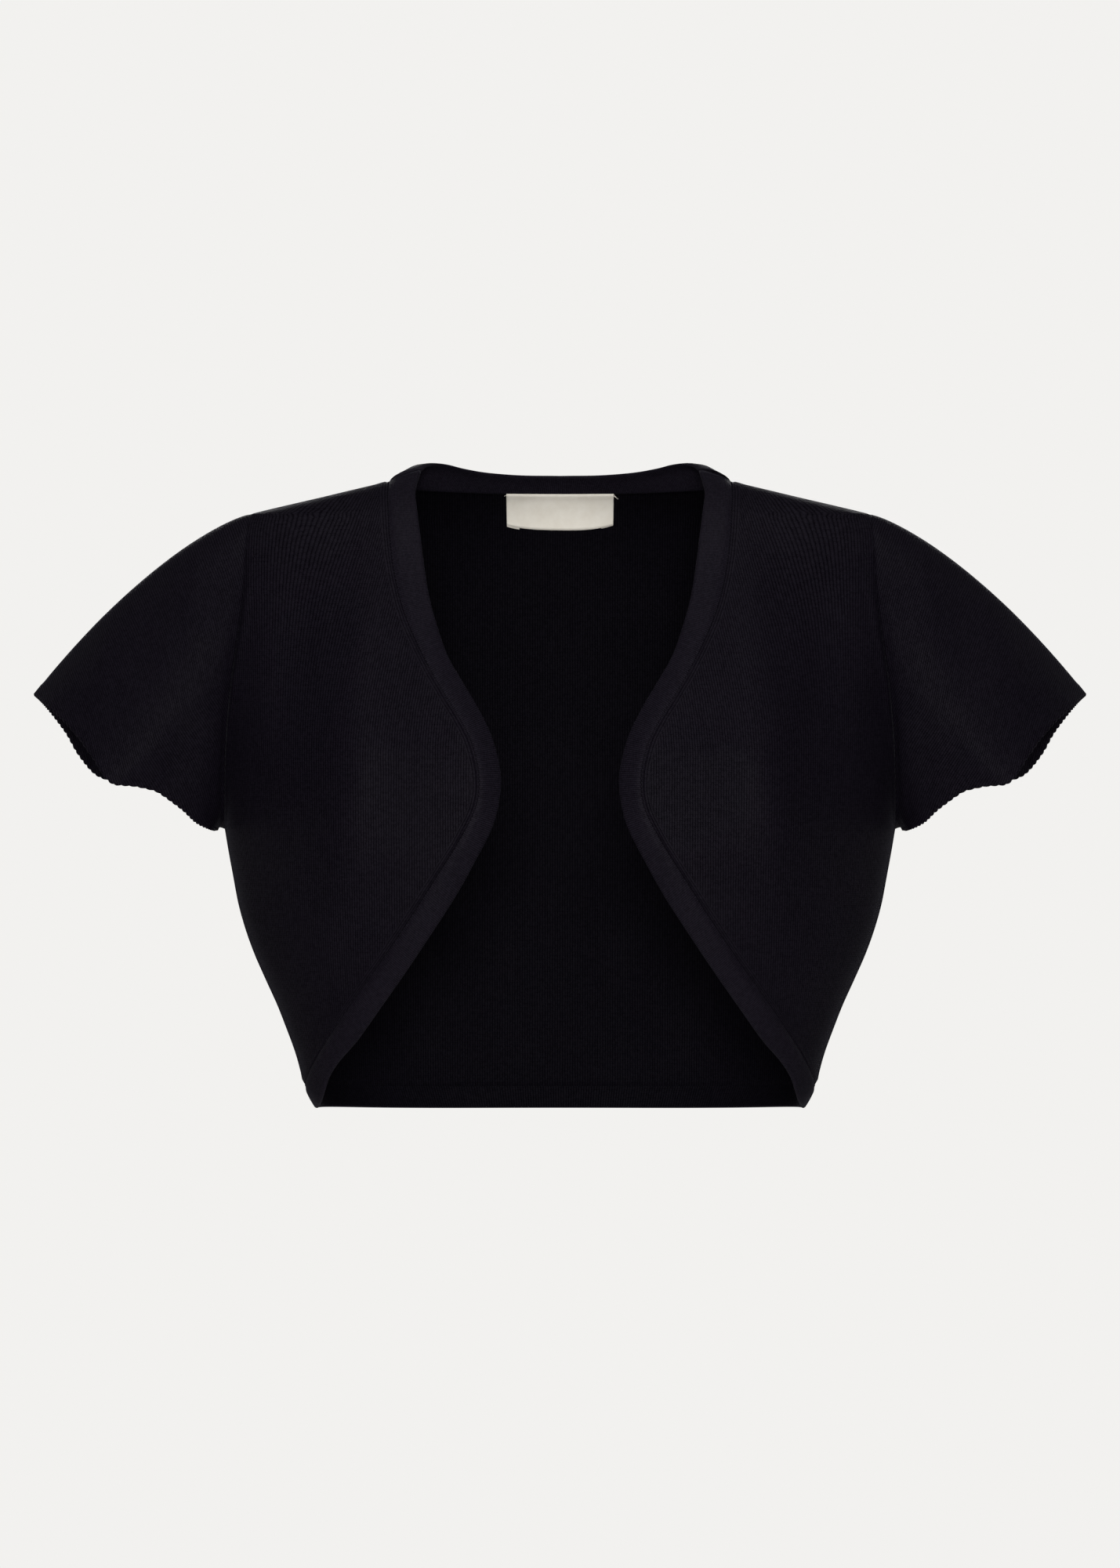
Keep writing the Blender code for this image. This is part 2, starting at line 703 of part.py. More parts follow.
def object_from(name, points, faces, material, collection):
    mesh = bpy.data.meshes.new(name)
    mesh.from_pydata((points * MM).tolist(), [], faces)
    solid = bmesh.new()
    solid.from_mesh(mesh)
    bmesh.ops.recalc_face_normals(solid, faces=solid.faces)
    solid.to_mesh(mesh)
    solid.free()
    mesh.shade_smooth()
    mesh.set_sharp_from_angle(angle=math.radians(40))
    mesh.materials.append(material)
    made = bpy.data.objects.new(name, mesh)
    collection.objects.link(made)
    return made


def wall(name, panel, thickness, material, collection):
    """A wall of cloth from a panel: its outer face, its inner face and its edges."""
    grid = open_seams(panel)
    rows, columns = grid.shape[:2]
    outer = grid + 0.5 * thickness * panel.normals
    inner = grid - 0.5 * thickness * panel.normals
    points = np.concatenate([outer.reshape(-1, 3), inner.reshape(-1, 3)])
    number = np.arange(rows * columns).reshape(rows, columns)
    if panel.closed:
        number = np.concatenate([number, number[:, :1]], axis=1)
    below = number + rows * columns
    faces = quads(number[:-1, :-1], number[1:, :-1], number[1:, 1:], number[:-1, 1:])
    faces += quads(below[:-1, :-1], below[:-1, 1:], below[1:, 1:], below[1:, :-1])
    edges = [(number[0], below[0]), (number[-1], below[-1])]
    if not panel.closed:
        edges += [(number[:, 0], below[:, 0]), (number[:, -1], below[:, -1])]
    for upper, lower in edges:
        faces += quads(upper[:-1], upper[1:], lower[1:], lower[:-1])
    return object_from(name, points, faces, material, collection)


def quads(a, b, c, d):
    return np.stack([a, b, c, d], axis=-1).reshape(-1, 4).tolist()


def tube(name, rings, material, collection):
    """A closed solid from rings of points, one after another, with its two ends filled."""
    count, around = rings.shape[:2]
    number = np.arange(count * around).reshape(count, around)
    faces = [number[0].tolist(), number[-1].tolist()]
    number = np.concatenate([number, number[:, :1]], axis=1)
    faces += quads(number[:-1, :-1], number[:-1, 1:], number[1:, 1:], number[1:, :-1])
    return object_from(name, rings.reshape(-1, 3), faces, material, collection)


def principled(name, colour, roughness):
    material = bpy.data.materials.new(name)
    material.use_nodes = True
    shader = material.node_tree.nodes["Principled BSDF"]
    shader.inputs["Base Color"].default_value = colour
    shader.inputs["Roughness"].default_value = roughness
    shader.inputs["Metallic"].default_value = 0.0
    return material


def main():
    for old in list(bpy.data.objects):
        bpy.data.objects.remove(old, do_unlink=True)
    collection = bpy.data.collections.new("knitted_shrug")
    bpy.context.scene.collection.children.link(collection)

    half_back = back_grid()
    back_points = whole(half_back)
    front_points = front_grid()
    sleeve_points = sleeve_grid(front_points, half_back)
    front = Panel(front_points, -normals_of(front_points))
    sleeve = Panel(sleeve_points, -normals_of(sleeve_points, True), closed=True)
    label_points = label_grid()
    panels = {
        "back": Panel(back_points, normals_of(back_points)),
        "front_left": front,
        "front_right": front.other_side(),
        "sleeve_left": sleeve,
        "sleeve_right": sleeve.other_side(),
    }
    left_band = front_band(front_points)
    bands = {
        "front_band_left": left_band,
        "front_band_right": left_band.other_side(),
        "neck_band": neck_band(back_points),
        "hem_band": hem_band(back_points),
    }
    share_normals(list(panels.values()), list(bands.values()))
    for name, panel in panels.items():
        cloth = principled(name + "_knit", YARN_COLOUR, YARN_ROUGHNESS)
        wall(name, panel, PANEL_THICKNESS, cloth, collection)
    for name, band in bands.items():
        cloth = principled(name + "_knit", YARN_COLOUR, YARN_ROUGHNESS)
        tube(name, band.rings(), cloth, collection)
    tape = principled("label_tape", LABEL_COLOUR, LABEL_ROUGHNESS)
    label = Panel(label_points, normals_of(label_points))
    label.lean[:] = 1
    wall("label", label, LABEL_THICKNESS, tape, collection)


main()
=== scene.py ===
# %% [markdown]
# # A short-sleeved knitted shrug
#
# The garment is knitted in fine gauge and cut as a back, two fronts and two sleeves. One doubled
# band is linked all round its edge, and a woven label is sewn inside the back neck. It is filled
# out as when it is worn, with nobody in it.
#
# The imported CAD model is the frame. Its solids hold the places of the pieces, and each piece of
# cloth below replaces the solid of the same name.

# %% Load the frame
import math
from functools import partial

import bmesh
import bpy
import numpy as np
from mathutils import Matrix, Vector


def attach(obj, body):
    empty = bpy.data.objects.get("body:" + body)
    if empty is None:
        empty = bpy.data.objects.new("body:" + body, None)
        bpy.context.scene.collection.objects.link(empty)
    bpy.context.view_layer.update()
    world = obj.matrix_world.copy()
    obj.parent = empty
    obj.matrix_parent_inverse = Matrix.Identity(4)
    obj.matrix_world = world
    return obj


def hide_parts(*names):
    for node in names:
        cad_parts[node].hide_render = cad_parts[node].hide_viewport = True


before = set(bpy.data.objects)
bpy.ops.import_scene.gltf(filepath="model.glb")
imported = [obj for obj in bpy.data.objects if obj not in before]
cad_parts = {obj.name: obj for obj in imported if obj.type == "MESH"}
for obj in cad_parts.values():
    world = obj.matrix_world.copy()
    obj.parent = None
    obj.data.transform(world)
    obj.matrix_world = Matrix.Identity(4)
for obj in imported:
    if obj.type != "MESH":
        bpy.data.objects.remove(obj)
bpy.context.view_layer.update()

# %% [markdown]
# ## The sizes
#
# A tailor writes a cut down as a table of measures. The tables here are the cut of the CAD model,
# in millimetres: level sections of the body, the armhole, the side seam, the band's two edges and
# the sleeve's hem. Only the counts are finer, because cloth that is looked at closely needs more
# points than a solid that is packed.

# %% Cloth and seams
MM = 0.001
PANEL_THICKNESS = 1.3
BAND_THICKNESS = 2.6
NECK_POINT = (100.7, 11.5)
SHOULDER_POINT = (181.9, -8.1)
UNDERARM_Z = -193.0
ARMHOLE_DEPTH = {"front": 52.0, "back": 50.0}
ARMHOLE_MID_Z = 0.5 * (SHOULDER_POINT[1] + UNDERARM_Z)
ARMHOLE_HALF_Z = 0.5 * (SHOULDER_POINT[1] - UNDERARM_Z)
HEM_SEAM_X = 149.3
SIDE_SEAM_FOOT_Z = -343.5
HEM_SIDE_Z = -356.5
HEM_SAG = 3.2
NAPE_WIDTH = 95.0
FULLNESS = {"x": 114.0, "z": -176.0, "rise": 17.0, "inner": 39.0, "outer": 52.0, "high": 80.0}

ARMHOLE_ROWS = 48
SIDE_ROWS = 36
SHOULDER_COLUMNS = 56
NECK_COLUMNS = 44
SLEEVE_RINGS = 44
FINE = 2400
THREAD_POINTS = 700
HEM_CORNER = 0.905
SETTLE_DEPTH = 90
FOLD_CORE = (0.2, 0.8)
EDGE_FADE = 6


def table(names, *rows):
    """A short table as one array for each named column."""
    return {name: np.array(column, float) for name, column in zip(names.split(), zip(*rows))}


# %% The body's level sections, its sides and its armholes
SECTIONS = table(
    "height front back nape square",
    (12.5, 0, 0, 36, 2.1),
    (11.5, 12, 13, 36, 2.1),
    (9.5, 24, 29, 36, 2.1),
    (6.5, 31, 40, 33, 2.1),
    (1.5, 38, 51, 28, 2.1),
    (-8, 48, 63, 23, 2.1),
    (-20, 58, 74, 17, 2.15),
    (-45, 75, 87, 9, 2.25),
    (-80, 93, 96, 3, 2.4),
    (-120, 106, 100, 0, 2.5),
    (-160, 113, 100, 0, 2.5),
    (-200, 114, 97, 0, 2.45),
    (-240, 110, 92, 0, 2.4),
    (-280, 104, 88, 0, 2.35),
    (-320, 99, 86, 0, 2.3),
    (-345, 96, 85, 0, 2.3),
    (-365, 94, 83, 0, 2.3),
)
SIDE = table(
    "height half_width",
    (-193, 195.7),
    (-204, 193.9),
    (-221, 190.8),
    (-236, 187.9),
    (-251, 183.7),
    (-266, 178.3),
    (-280, 172.1),
    (-295, 165.3),
    (-310, 159.4),
    (-325, 154.0),
    (-339, 150.3),
    (-343.5, 149.3),
    (-350, 146.4),
    (-356.5, 142.4),
    (-365, 139.0),
)
ARMHOLE = table(
    "height half_width",
    (-193, 195.7),
    (-160, 195.6),
    (-139, 194.6),
    (-110, 192.0),
    (-82, 188.0),
    (-60, 185.2),
    (-35, 183.4),
    (-8.1, 181.9),
)

# %% The band's two edges and the sleeve's hem
FRONT_BAND = table(
    "seam_x seam_z free_x free_z turn",
    (100.7, 11.5, 81.7, 18.3, 0),
    (100.9, 4.6, 84.6, 5.4, 0),
    (100.3, -6, 83.4, -5.5, 0),
    (99.1, -21, 81.4, -20, 0),
    (97.0, -38.5, 79.1, -37, 0),
    (92.7, -58.5, 76.1, -55.5, 1),
    (86.9, -75, 72.1, -71, 3),
    (76.5, -97, 65.2, -91.5, 6),
    (67.1, -113.5, 56.5, -107, 8),
    (58.2, -128, 47.7, -122, 9),
    (50.9, -142.5, 39.4, -139, 9),
    (46.9, -160, 34.4, -160, 9),
    (47.5, -175, 35.3, -177, 8),
    (51.8, -187, 39.4, -192, 6),
    (60.6, -203, 49.1, -211, 4),
    (72.0, -221, 59.9, -230.5, 2),
    (85.1, -241.5, 73.1, -251, 1),
    (101.2, -265.5, 89.2, -275, 0),
    (117.3, -288, 105.3, -298, 0),
    (129.8, -306, 117.5, -315, 0),
    (138.6, -319.5, 127.6, -326.5, 0),
    (144.6, -330, 134.0, -336, 0),
    (147.8, -337.5, 137.4, -345, 0),
    (149.0, -341.5, 140.2, -353, 0),
    (149.3, -343.5, 142.4, -356.5, 0),
)
NECK_BAND = table(
    "seam_x seam_z free_x free_z lean arch",
    (0, 8.0, 0, 17.2, 8.5, 0.8),
    (25, 8.1, 22, 17.3, 8.5, 0.8),
    (48, 8.4, 42, 18.4, 7.5, 1.2),
    (64, 8.8, 56, 20.4, 6.5, 2.2),
    (75, 9.2, 66, 22.6, 6, 3.6),
    (84, 9.7, 73.4, 22.9, 5, 4.9),
    (92, 10.4, 78.6, 21.4, 3.4, 4.6),
    (100.7, 11.5, 81.7, 18.3, 0, 1.8),
)
SLEEVE_TIP = np.array([308.6, -113.3])
SLEEVE_HEM_LINE = np.array([-0.813, -0.582])
SLEEVE_HEM_DROP = np.array([0.582, -0.813])
SLEEVE_HEM = table(
    "angle along drop depth",
    (0, 0, 0, 0),
    (25, 7.5, 0.2, -24),
    (45, 21.9, 0.9, -42),
    (60, 36.9, 3.6, -53),
    (75, 53.8, 8.9, -62),
    (88, 69, 13.9, -66),
    (100, 81.8, 7.6, -62),
    (112, 96, 2.6, -55),
    (125, 110.2, 2.9, -49),
    (140, 122.5, 4.6, -43),
    (155, 131, 3.4, -32),
    (168, 132.5, 3.0, -16.5),
    (180, 130.5, 3.8, 0),
    (192, 132.5, 3.0, 16.5),
    (205, 129.6, 4.6, 32),
    (220, 118, 6.4, 43),
    (235, 103.8, 4.9, 49),
    (250, 88.5, 5.3, 55),
    (265, 71.2, 13.4, 62),
    (280, 54.1, 19.1, 64),
    (295, 40, 15.7, 56),
    (310, 25.4, 8.6, 44),
    (332, 8.3, 2.6, 25),
)
SLEEVE_BULGE = {"top": 10.8, "side": 6.0, "underarm": -2.5, "lean": 0.8, "lag": 0.25, "fade": 0.15}
SLEEVE_UP = np.array([0.64, 0, 0.77])
BAND_ARCH = 0.5
HEM_ARCH = 0.4

# %% [markdown]
# ## The folds
#
# Cloth that hangs from a shoulder falls in soft folds, and they give a plain black garment most
# of its shape. A simulation could find them, but it would find its own. Here each one is placed
# from the photograph, as a line with a rise and a reach: a rise below nought is a trough.
# The first two tables are the large folds of the solids. The other three add the small ones, no
# two alike in length, depth or spacing, on the hidden sides too.

# %% Fold tables
FRONT_FOLDS = table(
    "top_x top_z foot_x foot_z rise reach",
    (104, -15, 114, -88, 3.2, 15),
    (114, -88, 120, -150, 4.8, 18),
    (120, -150, 123, -225, 4.0, 18),
    (122, -178, 158, -228, 2.4, 13),
    (124, -205, 148, -290, 2.6, 15),
    (152, -45, 156, -140, -4.2, 20),
    (66, -150, 104, -143, 1.5, 12),
    (92, -215, 120, -262, -1.6, 14),
)
BACK_FOLDS = table(
    "top_x top_z foot_x foot_z rise reach",
    (128, -60, 104, -210, 3.2, 17),
    (158, -70, 150, -150, -3.2, 18),
    (104, -210, 96, -320, 2.4, 18),
    (150, -215, 134, -300, 1.8, 14),
    (0, -150, 0, -320, -3.6, 26),
    (60, -265, 62, -340, -1.8, 16),
)
FRONT_CREASES = table(
    "top_x top_z foot_x foot_z rise reach",
    (137, -62, 140, -128, 0.8, 6),
    (168, -96, 176, -168, 1.1, 8),
    (-134, -48, -141, -112, 0.7, 7),
    (-171, -88, -173, -150, 1.2, 7),
    (84, -148, 108, -152, 0.7, 5),
    (-78, -153, -106, -147, 0.8, 6),
    (132, -196, 141, -254, -0.9, 7),
    (-137, -205, -150, -262, -1.0, 8),
    (158, -240, 143, -305, 0.8, 7),
    (-163, -232, -147, -296, 0.7, 6),
    (176, -200, 160, -232, -0.8, 8),
    (-178, -206, -166, -246, -0.7, 7),
    (108, -232, 124, -268, 0.6, 6),
    (-104, -238, -119, -281, 0.7, 6),
)
BACK_CREASES = table(
    "top_x top_z foot_x foot_z rise reach",
    (40, -36, 92, -74, 0.9, 10),
    (-34, -42, -84, -66, 0.7, 9),
    (168, -92, 128, -164, 1.3, 10),
    (-171, -104, -137, -158, 1.0, 9),
    (182, -204, 122, -244, 1.4, 10),
    (-180, -212, -131, -236, 1.1, 9),
    (176, -236, 108, -286, 0.9, 9),
    (-172, -248, -118, -300, 1.2, 10),
    (22, -196, 34, -330, 1.2, 11),
    (-30, -224, -24, -334, 0.9, 9),
    (72, -238, 78, -318, -1.0, 9),
    (-82, -250, -74, -336, -1.2, 10),
    (-4, -96, 6, -158, -0.8, 14),
)
SLEEVE_CREASES = table(
    "top_x top_z foot_x foot_z rise reach",
    (210, -26, 214, -96, 1.8, 10),
    (233, -42, 240, -120, -1.2, 10),
    (258, -58, 262, -128, 0.9, 9),
    (-212, -30, -211, -88, 1.7, 10),
    (-236, -36, -246, -112, -1.3, 11),
    (-264, -66, -270, -118, 0.8, 8),
    (198, -120, 206, -176, 1.2, 7),
    (-199, -126, -209, -170, 1.0, 7),
    (222, -128, 236, -166, -0.9, 8),
    (-218, -120, -230, -172, -1.0, 8),
)
print("folds", len(FRONT_FOLDS["rise"]), "on each front,", len(BACK_FOLDS["rise"]), "on the back")

# %% [markdown]
# ## Curves through a table
#
# A table has few rows, and a seam is a smooth line. Two kinds of curve join the rows: one that
# never swings past them, for widths and depths, and a rounder one for the seams that are seen
# from the front. Both work on whole arrays.


# %% Curve helpers
def smooth(xs, ys, at):
    """A curve through the rows that never swings past them: on each step a cubic, whose slope at a
    row is the weighted harmonic mean of the slopes beside it, or nought where they disagree."""
    order = np.argsort(xs)
    xs = xs[order]
    ys = ys[order]
    at = np.clip(at, xs[0], xs[-1])
    step = np.diff(xs)
    slope = np.diff(ys) / step
    tangent = np.zeros(len(xs))
    same = slope[:-1] * slope[1:] > 0
    before = 2 * step[1:] + step[:-1]
    after = step[1:] + 2 * step[:-1]
    safe_left = np.where(same, slope[:-1], 1.0)
    safe_right = np.where(same, slope[1:], 1.0)
    tangent[1:-1] = np.where(same, (before + after) / (before / safe_left + after / safe_right), 0)
    tangent[0] = slope[0]
    tangent[-1] = slope[-1]
    place = np.clip(np.searchsorted(xs, at, side="right") - 1, 0, len(step) - 1)
    h = step[place]
    t = (at - xs[place]) / h
    return (
        ys[place] * (1 + 2 * t) * (1 - t) ** 2
        + tangent[place] * h * t * (1 - t) ** 2
        + ys[place + 1] * t * t * (3 - 2 * t)
        + tangent[place + 1] * h * t * t * (t - 1)
    )


def through(points, at):
    """A round curve through points, by their numbers: between two rows the Catmull-Rom cubic, whose
    slope at a row is half the way from the row before to the row after."""
    points = np.asarray(points, float)
    padded = np.vstack([2 * points[0] - points[1], points, 2 * points[-1] - points[-2]])
    place = np.clip(np.floor(at).astype(int), 0, len(points) - 2)
    t = (at - place)[:, None]
    a, b, c, d = (padded[place + k] for k in range(4))
    return 0.5 * (
        2 * b
        + (c - a) * t
        + (2 * a - 5 * b + 4 * c - d) * t**2
        + (3 * b - 3 * c + d - a) * t**3
    )


def lengths_along(points):
    """The distance from the first point to each point of a line: the sum of its steps."""
    steps = np.linalg.norm(np.diff(points, axis=0), axis=1)
    return np.concatenate([[0], np.cumsum(steps)])


def spread(points, shares, values=None):
    """Points of a line at the given shares of its length, or the values that belong to them."""
    reached = lengths_along(points)
    at = np.asarray(shares) * reached[-1]
    values = points if values is None else values
    return np.stack([np.interp(at, reached, values[:, k]) for k in range(3)], axis=1)


def eased(count, ease=0.55):
    """Shares from 0 to 1 that crowd towards both ends: an even run mixed with half a cosine wave,
    so that the cloth has its finest points beside the seams."""
    t = np.linspace(0, 1, count + 1)
    return (1 - ease) * t + ease * 0.5 * (1 - np.cos(math.pi * t))


def step_up(x, low, high):
    """0 below low, 1 above high, and the cubic 3t^2 - 2t^3 between."""
    t = np.clip((x - low) / (high - low), 0, 1)
    return t * t * (3 - 2 * t)


def unit(vectors):
    """Vectors divided by their own lengths."""
    size = np.linalg.norm(vectors, axis=-1, keepdims=True)
    return vectors / np.maximum(size, 1e-9)


def mirrored(points):
    """The same points on the other side of the garment."""
    return points * np.array([-1, 1, 1])


# %% [markdown]
# ## The body that the cloth hangs on
#
# Each level section is half of a squared oval, whose width comes from the shoulder slope, the
# armhole or the side seam. That gives the figure without modelling one. The folds are then added
# to its depth. A crease can lie on one side only, so a side of +1 or -1 says which half is asked
# for.


# %% The body's surface
def section(name, z):
    """A measure of the level section at a height."""
    return smooth(SECTIONS["height"], SECTIONS[name], z)


def crest_z(x):
    """The shoulder crest's height: a straight line from the neck point to the shoulder point."""
    slope = (SHOULDER_POINT[1] - NECK_POINT[1]) / (SHOULDER_POINT[0] - NECK_POINT[0])
    return NECK_POINT[1] + slope * (x - NECK_POINT[0])


def armhole_x(z):
    """How far out the armhole seam lies at a height."""
    return smooth(ARMHOLE["height"], ARMHOLE["half_width"], z)


def half_width(z, face):
    """The oval's half width: on the crest above the shoulder point, on the side seam below the
    underarm and, between them, the width that brings the oval through the armhole's own oval."""
    square = section("square", z)
    share = np.clip((z - ARMHOLE_MID_Z) / ARMHOLE_HALF_Z, -1, 1)
    deep = ARMHOLE_DEPTH[face] * np.sqrt(1 - share**2)
    inner = np.clip(deep / np.maximum(section(face, z), 1e-3), 0, 0.95)
    at_armhole = armhole_x(z) / (1 - inner**square) ** (1 / square)
    slope = (SHOULDER_POINT[0] - NECK_POINT[0]) / (SHOULDER_POINT[1] - NECK_POINT[1])
    at_crest = NECK_POINT[0] + slope * (z - NECK_POINT[1])
    at_side = smooth(SIDE["height"], SIDE["half_width"], z)
    return np.where(
        z >= SHOULDER_POINT[1], at_crest, np.where(z <= UNDERARM_Z, at_side, at_armhole)
    )


def folds(rows, x, z):
    """How far folds stand out: the sum, over the rows, of rise times a bell of the distance from
    the middle three fifths of the fold's line."""
    total = np.zeros(np.broadcast(x, z).shape)
    for top_x, top_z, foot_x, foot_z, rise, reach in zip(*rows.values()):
        run_x = foot_x - top_x
        run_z = foot_z - top_z
        along = ((x - top_x) * run_x + (z - top_z) * run_z) / (run_x**2 + run_z**2)
        nearest = np.clip(along, *FOLD_CORE)
        away = np.hypot(x - top_x - nearest * run_x, z - top_z - nearest * run_z)
        total = total + rise * np.exp(-((away / reach) ** 2))
    return total


def edge_x(z, face):
    """How far a panel reaches: to the crest, the armhole seam or the side seam."""
    beside_armhole = (z < SHOULDER_POINT[1]) & (z > UNDERARM_Z)
    return np.where(beside_armhole, armhole_x(z), half_width(z, face))


def depth_at(x, z, face, side):
    """The oval (1 - share^square)^(1 / square) times the section's depth, with the fullness or the
    nape and the folds, which fade out at the panel's edge."""
    square = section("square", z)
    share = np.clip(x / half_width(z, face), 0, 1)
    depth = section(face, z) * (1 - share**square) ** (1 / square)
    inside = 1 - np.clip(x / edge_x(z, face), 0, 1) ** EDGE_FADE
    if face == "front":
        wide = np.where(x < FULLNESS["x"], FULLNESS["inner"], FULLNESS["outer"])
        across = (x - FULLNESS["x"]) / wide
        up = (z - FULLNESS["z"]) / FULLNESS["high"]
        full = FULLNESS["rise"] * np.exp(-(across**2) - up**2)
        full = full + folds(FRONT_FOLDS, x, z) + folds(FRONT_CREASES, side * x, z)
        return depth + full * inside
    nape = section("nape", z) * np.exp(-((x / NAPE_WIDTH) ** 2)) * (1 - share**2)
    nape = nape + folds(BACK_FOLDS, x, z) + folds(BACK_CREASES, side * x, z)
    return depth + nape * inside


def on_body(x, z, face, side):
    """Points of the surface, for widths and heights as they are seen from the front."""
    x, z = np.broadcast_arrays(np.asarray(x, float), np.asarray(z, float))
    depth = depth_at(x, z, face, side)
    return np.stack([x, -depth if face == "front" else depth, z], axis=-1)


# %% [markdown]
# ## The seams
#
# A knitted garment is drawn from its seams. The armhole and the side seam run down the outer edge
# of a front, and the band's seam runs down its inner edge and away to the side.


# %% Seam lines
def outer_edge():
    """Widths and heights of the armhole seam, by an eased turn of half a circle, and then the side
    seam down to the hem."""
    turn = math.pi * eased(ARMHOLE_ROWS)
    armhole_z = ARMHOLE_MID_Z + ARMHOLE_HALF_Z * np.cos(turn)
    side_z = UNDERARM_Z + (SIDE_SEAM_FOOT_Z - UNDERARM_Z) * np.linspace(0, 1, SIDE_ROWS + 1)[1:]
    z = np.concatenate([armhole_z, side_z])
    return np.where(z >= UNDERARM_Z, armhole_x(z), half_width(z, "front")), z


def front_seam(shares, side):
    """The seam between a front and its band, by shares of its length from the shoulder."""
    rows = np.stack([FRONT_BAND["seam_x"], FRONT_BAND["seam_z"]], axis=1)
    flat = through(rows, np.linspace(0, len(rows) - 1, FINE))
    line = on_body(flat[:, 0], flat[:, 1], "front", side)
    line[[0, -1], 1] = 0
    return spread(line, shares)


def match(stations, points):
    """For each point of a line, the number of the station it has come to, by share of length."""
    fine = np.linspace(0, len(stations) - 1, FINE)
    reached = lengths_along(through(stations, fine))
    own = lengths_along(points)
    return np.interp(own / own[-1] * reached[-1], reached, fine)


def front_free_edge(seam, side):
    """The band's folded edge, a point for each point of its seam, turned in where the front curves
    back under its own weight."""
    rows = on_body(FRONT_BAND["free_x"], FRONT_BAND["free_z"], "front", side)
    rows[:, 1] += FRONT_BAND["turn"]
    partners = on_body(FRONT_BAND["seam_x"], FRONT_BAND["seam_z"], "front", side)
    rows[[0, -1], 1] = 0
    partners[[0, -1], 1] = 0
    return through(rows, match(partners, seam))


def neck_seam(side):
    """The seam at the back of the neck, from the neck point to the middle."""
    rows = np.stack([NECK_BAND["seam_x"], NECK_BAND["seam_z"]], axis=1)
    flat = through(rows, np.linspace(len(rows) - 1, 0, FINE))
    line = on_body(flat[:, 0], flat[:, 1], "back", side)
    line[0, 1] = 0
    return line


def hem_seam_z(x):
    """The back hem's seam hangs lower in the middle, by the sag times 1 - share^4."""
    share = np.clip(np.abs(x) / HEM_SEAM_X, 0, 1)
    return SIDE_SEAM_FOOT_Z - HEM_SAG * (1 - share**4)


# %% [markdown]
# ## The panels
#
# A panel is a grid: rows run from its outer edge to its inner one, so a row is a thread of the
# cloth that is laid on the body and then spaced evenly by its length. A sleeve is a tube, with
# rings from the armhole to the hem. It could be swept along an arm, but a straight blend between
# its two ends, with a small bulge, hangs as an empty knitted sleeve does.

# %% Fronts and back
PANEL_SHARES = eased(SHOULDER_COLUMNS)


def front_grid(side):
    """One front, as if it were the wearer's left. Row 0 is the shoulder seam, column 0 the armhole
    and side seam, and the last column and the last row lie on the band's seam."""
    outer_x, outer_z = outer_edge()
    rows = len(outer_x)
    fine = front_seam(np.linspace(0, 1, FINE), side)
    at_underarm = np.argmin(np.abs(fine[:, 2] - UNDERARM_Z)) / (FINE - 1)
    upper = at_underarm * eased(ARMHOLE_ROWS, 0.3)
    lower = at_underarm + (HEM_CORNER - at_underarm) * np.linspace(0, 1, SIDE_ROWS + 1)[1:]
    seam = front_seam(np.concatenate([upper, lower]), side)
    grid = np.zeros((rows, len(PANEL_SHARES), 3))
    crowd = 1 - np.cos(np.linspace(0, 0.5 * math.pi, THREAD_POINTS))
    for row in range(rows):
        x = outer_x[row] + (seam[row, 0] - outer_x[row]) * crowd
        z = outer_z[row] + (seam[row, 2] - outer_z[row]) * crowd
        line = on_body(x, z, "front", side)
        line[-1] = seam[row]
        grid[row] = spread(line, PANEL_SHARES)
    grid[0, :, 1] = 0
    grid[ARMHOLE_ROWS:, 0, 1] = 0
    grid[-1] = front_seam(1 - (1 - HEM_CORNER) * PANEL_SHARES, side)
    return grid


def back_half(side):
    """Half of the back, from the armhole and side seam to the middle. Its threads follow the
    shoulder and the neck at the top and settle to level lines lower down."""
    outer_x, outer_z = outer_edge()
    x = np.linspace(SHOULDER_POINT[0], NECK_POINT[0], FINE)
    shoulder = on_body(x, crest_z(x), "back", side)
    shoulder[:, 1] = 0
    whole_top = np.vstack([shoulder, neck_seam(side)[1:]])
    corner = lengths_along(shoulder)[-1] / lengths_along(whole_top)[-1]
    neck = corner + (1 - corner) * np.linspace(0, 1, NECK_COLUMNS + 1)[1:]
    shares = np.concatenate([corner * PANEL_SHARES, neck])
    top = np.vstack([whole_top[::4], whole_top[-1:]])
    grid = np.zeros((len(outer_x), len(shares), 3))
    crowd = np.sin(np.linspace(0.5 * math.pi, 0, len(top)))
    for row in range(len(outer_x)):
        settle = step_up(SHOULDER_POINT[1] - outer_z[row], 0, SETTLE_DEPTH)
        sink = np.clip((outer_z[row] - UNDERARM_Z) / (SIDE_SEAM_FOOT_Z - UNDERARM_Z), 0, 1)
        x = top[:, 0] / SHOULDER_POINT[0] * outer_x[row]
        x = x * (1 - settle) + outer_x[row] * crowd * settle
        above = np.interp(x / outer_x[row] * SHOULDER_POINT[0], top[::-1, 0], top[::-1, 2])
        z = outer_z[row] + (above - SHOULDER_POINT[1]) * (1 - settle)
        z = z + (hem_seam_z(x) - SIDE_SEAM_FOOT_Z) * sink
        line = whole_top if row == 0 else on_body(x, z, "back", side)
        grid[row] = spread(line, shares)
    grid[0, : SHOULDER_COLUMNS + 1, 1] = 0
    grid[ARMHOLE_ROWS:, 0, 1] = 0
    return grid


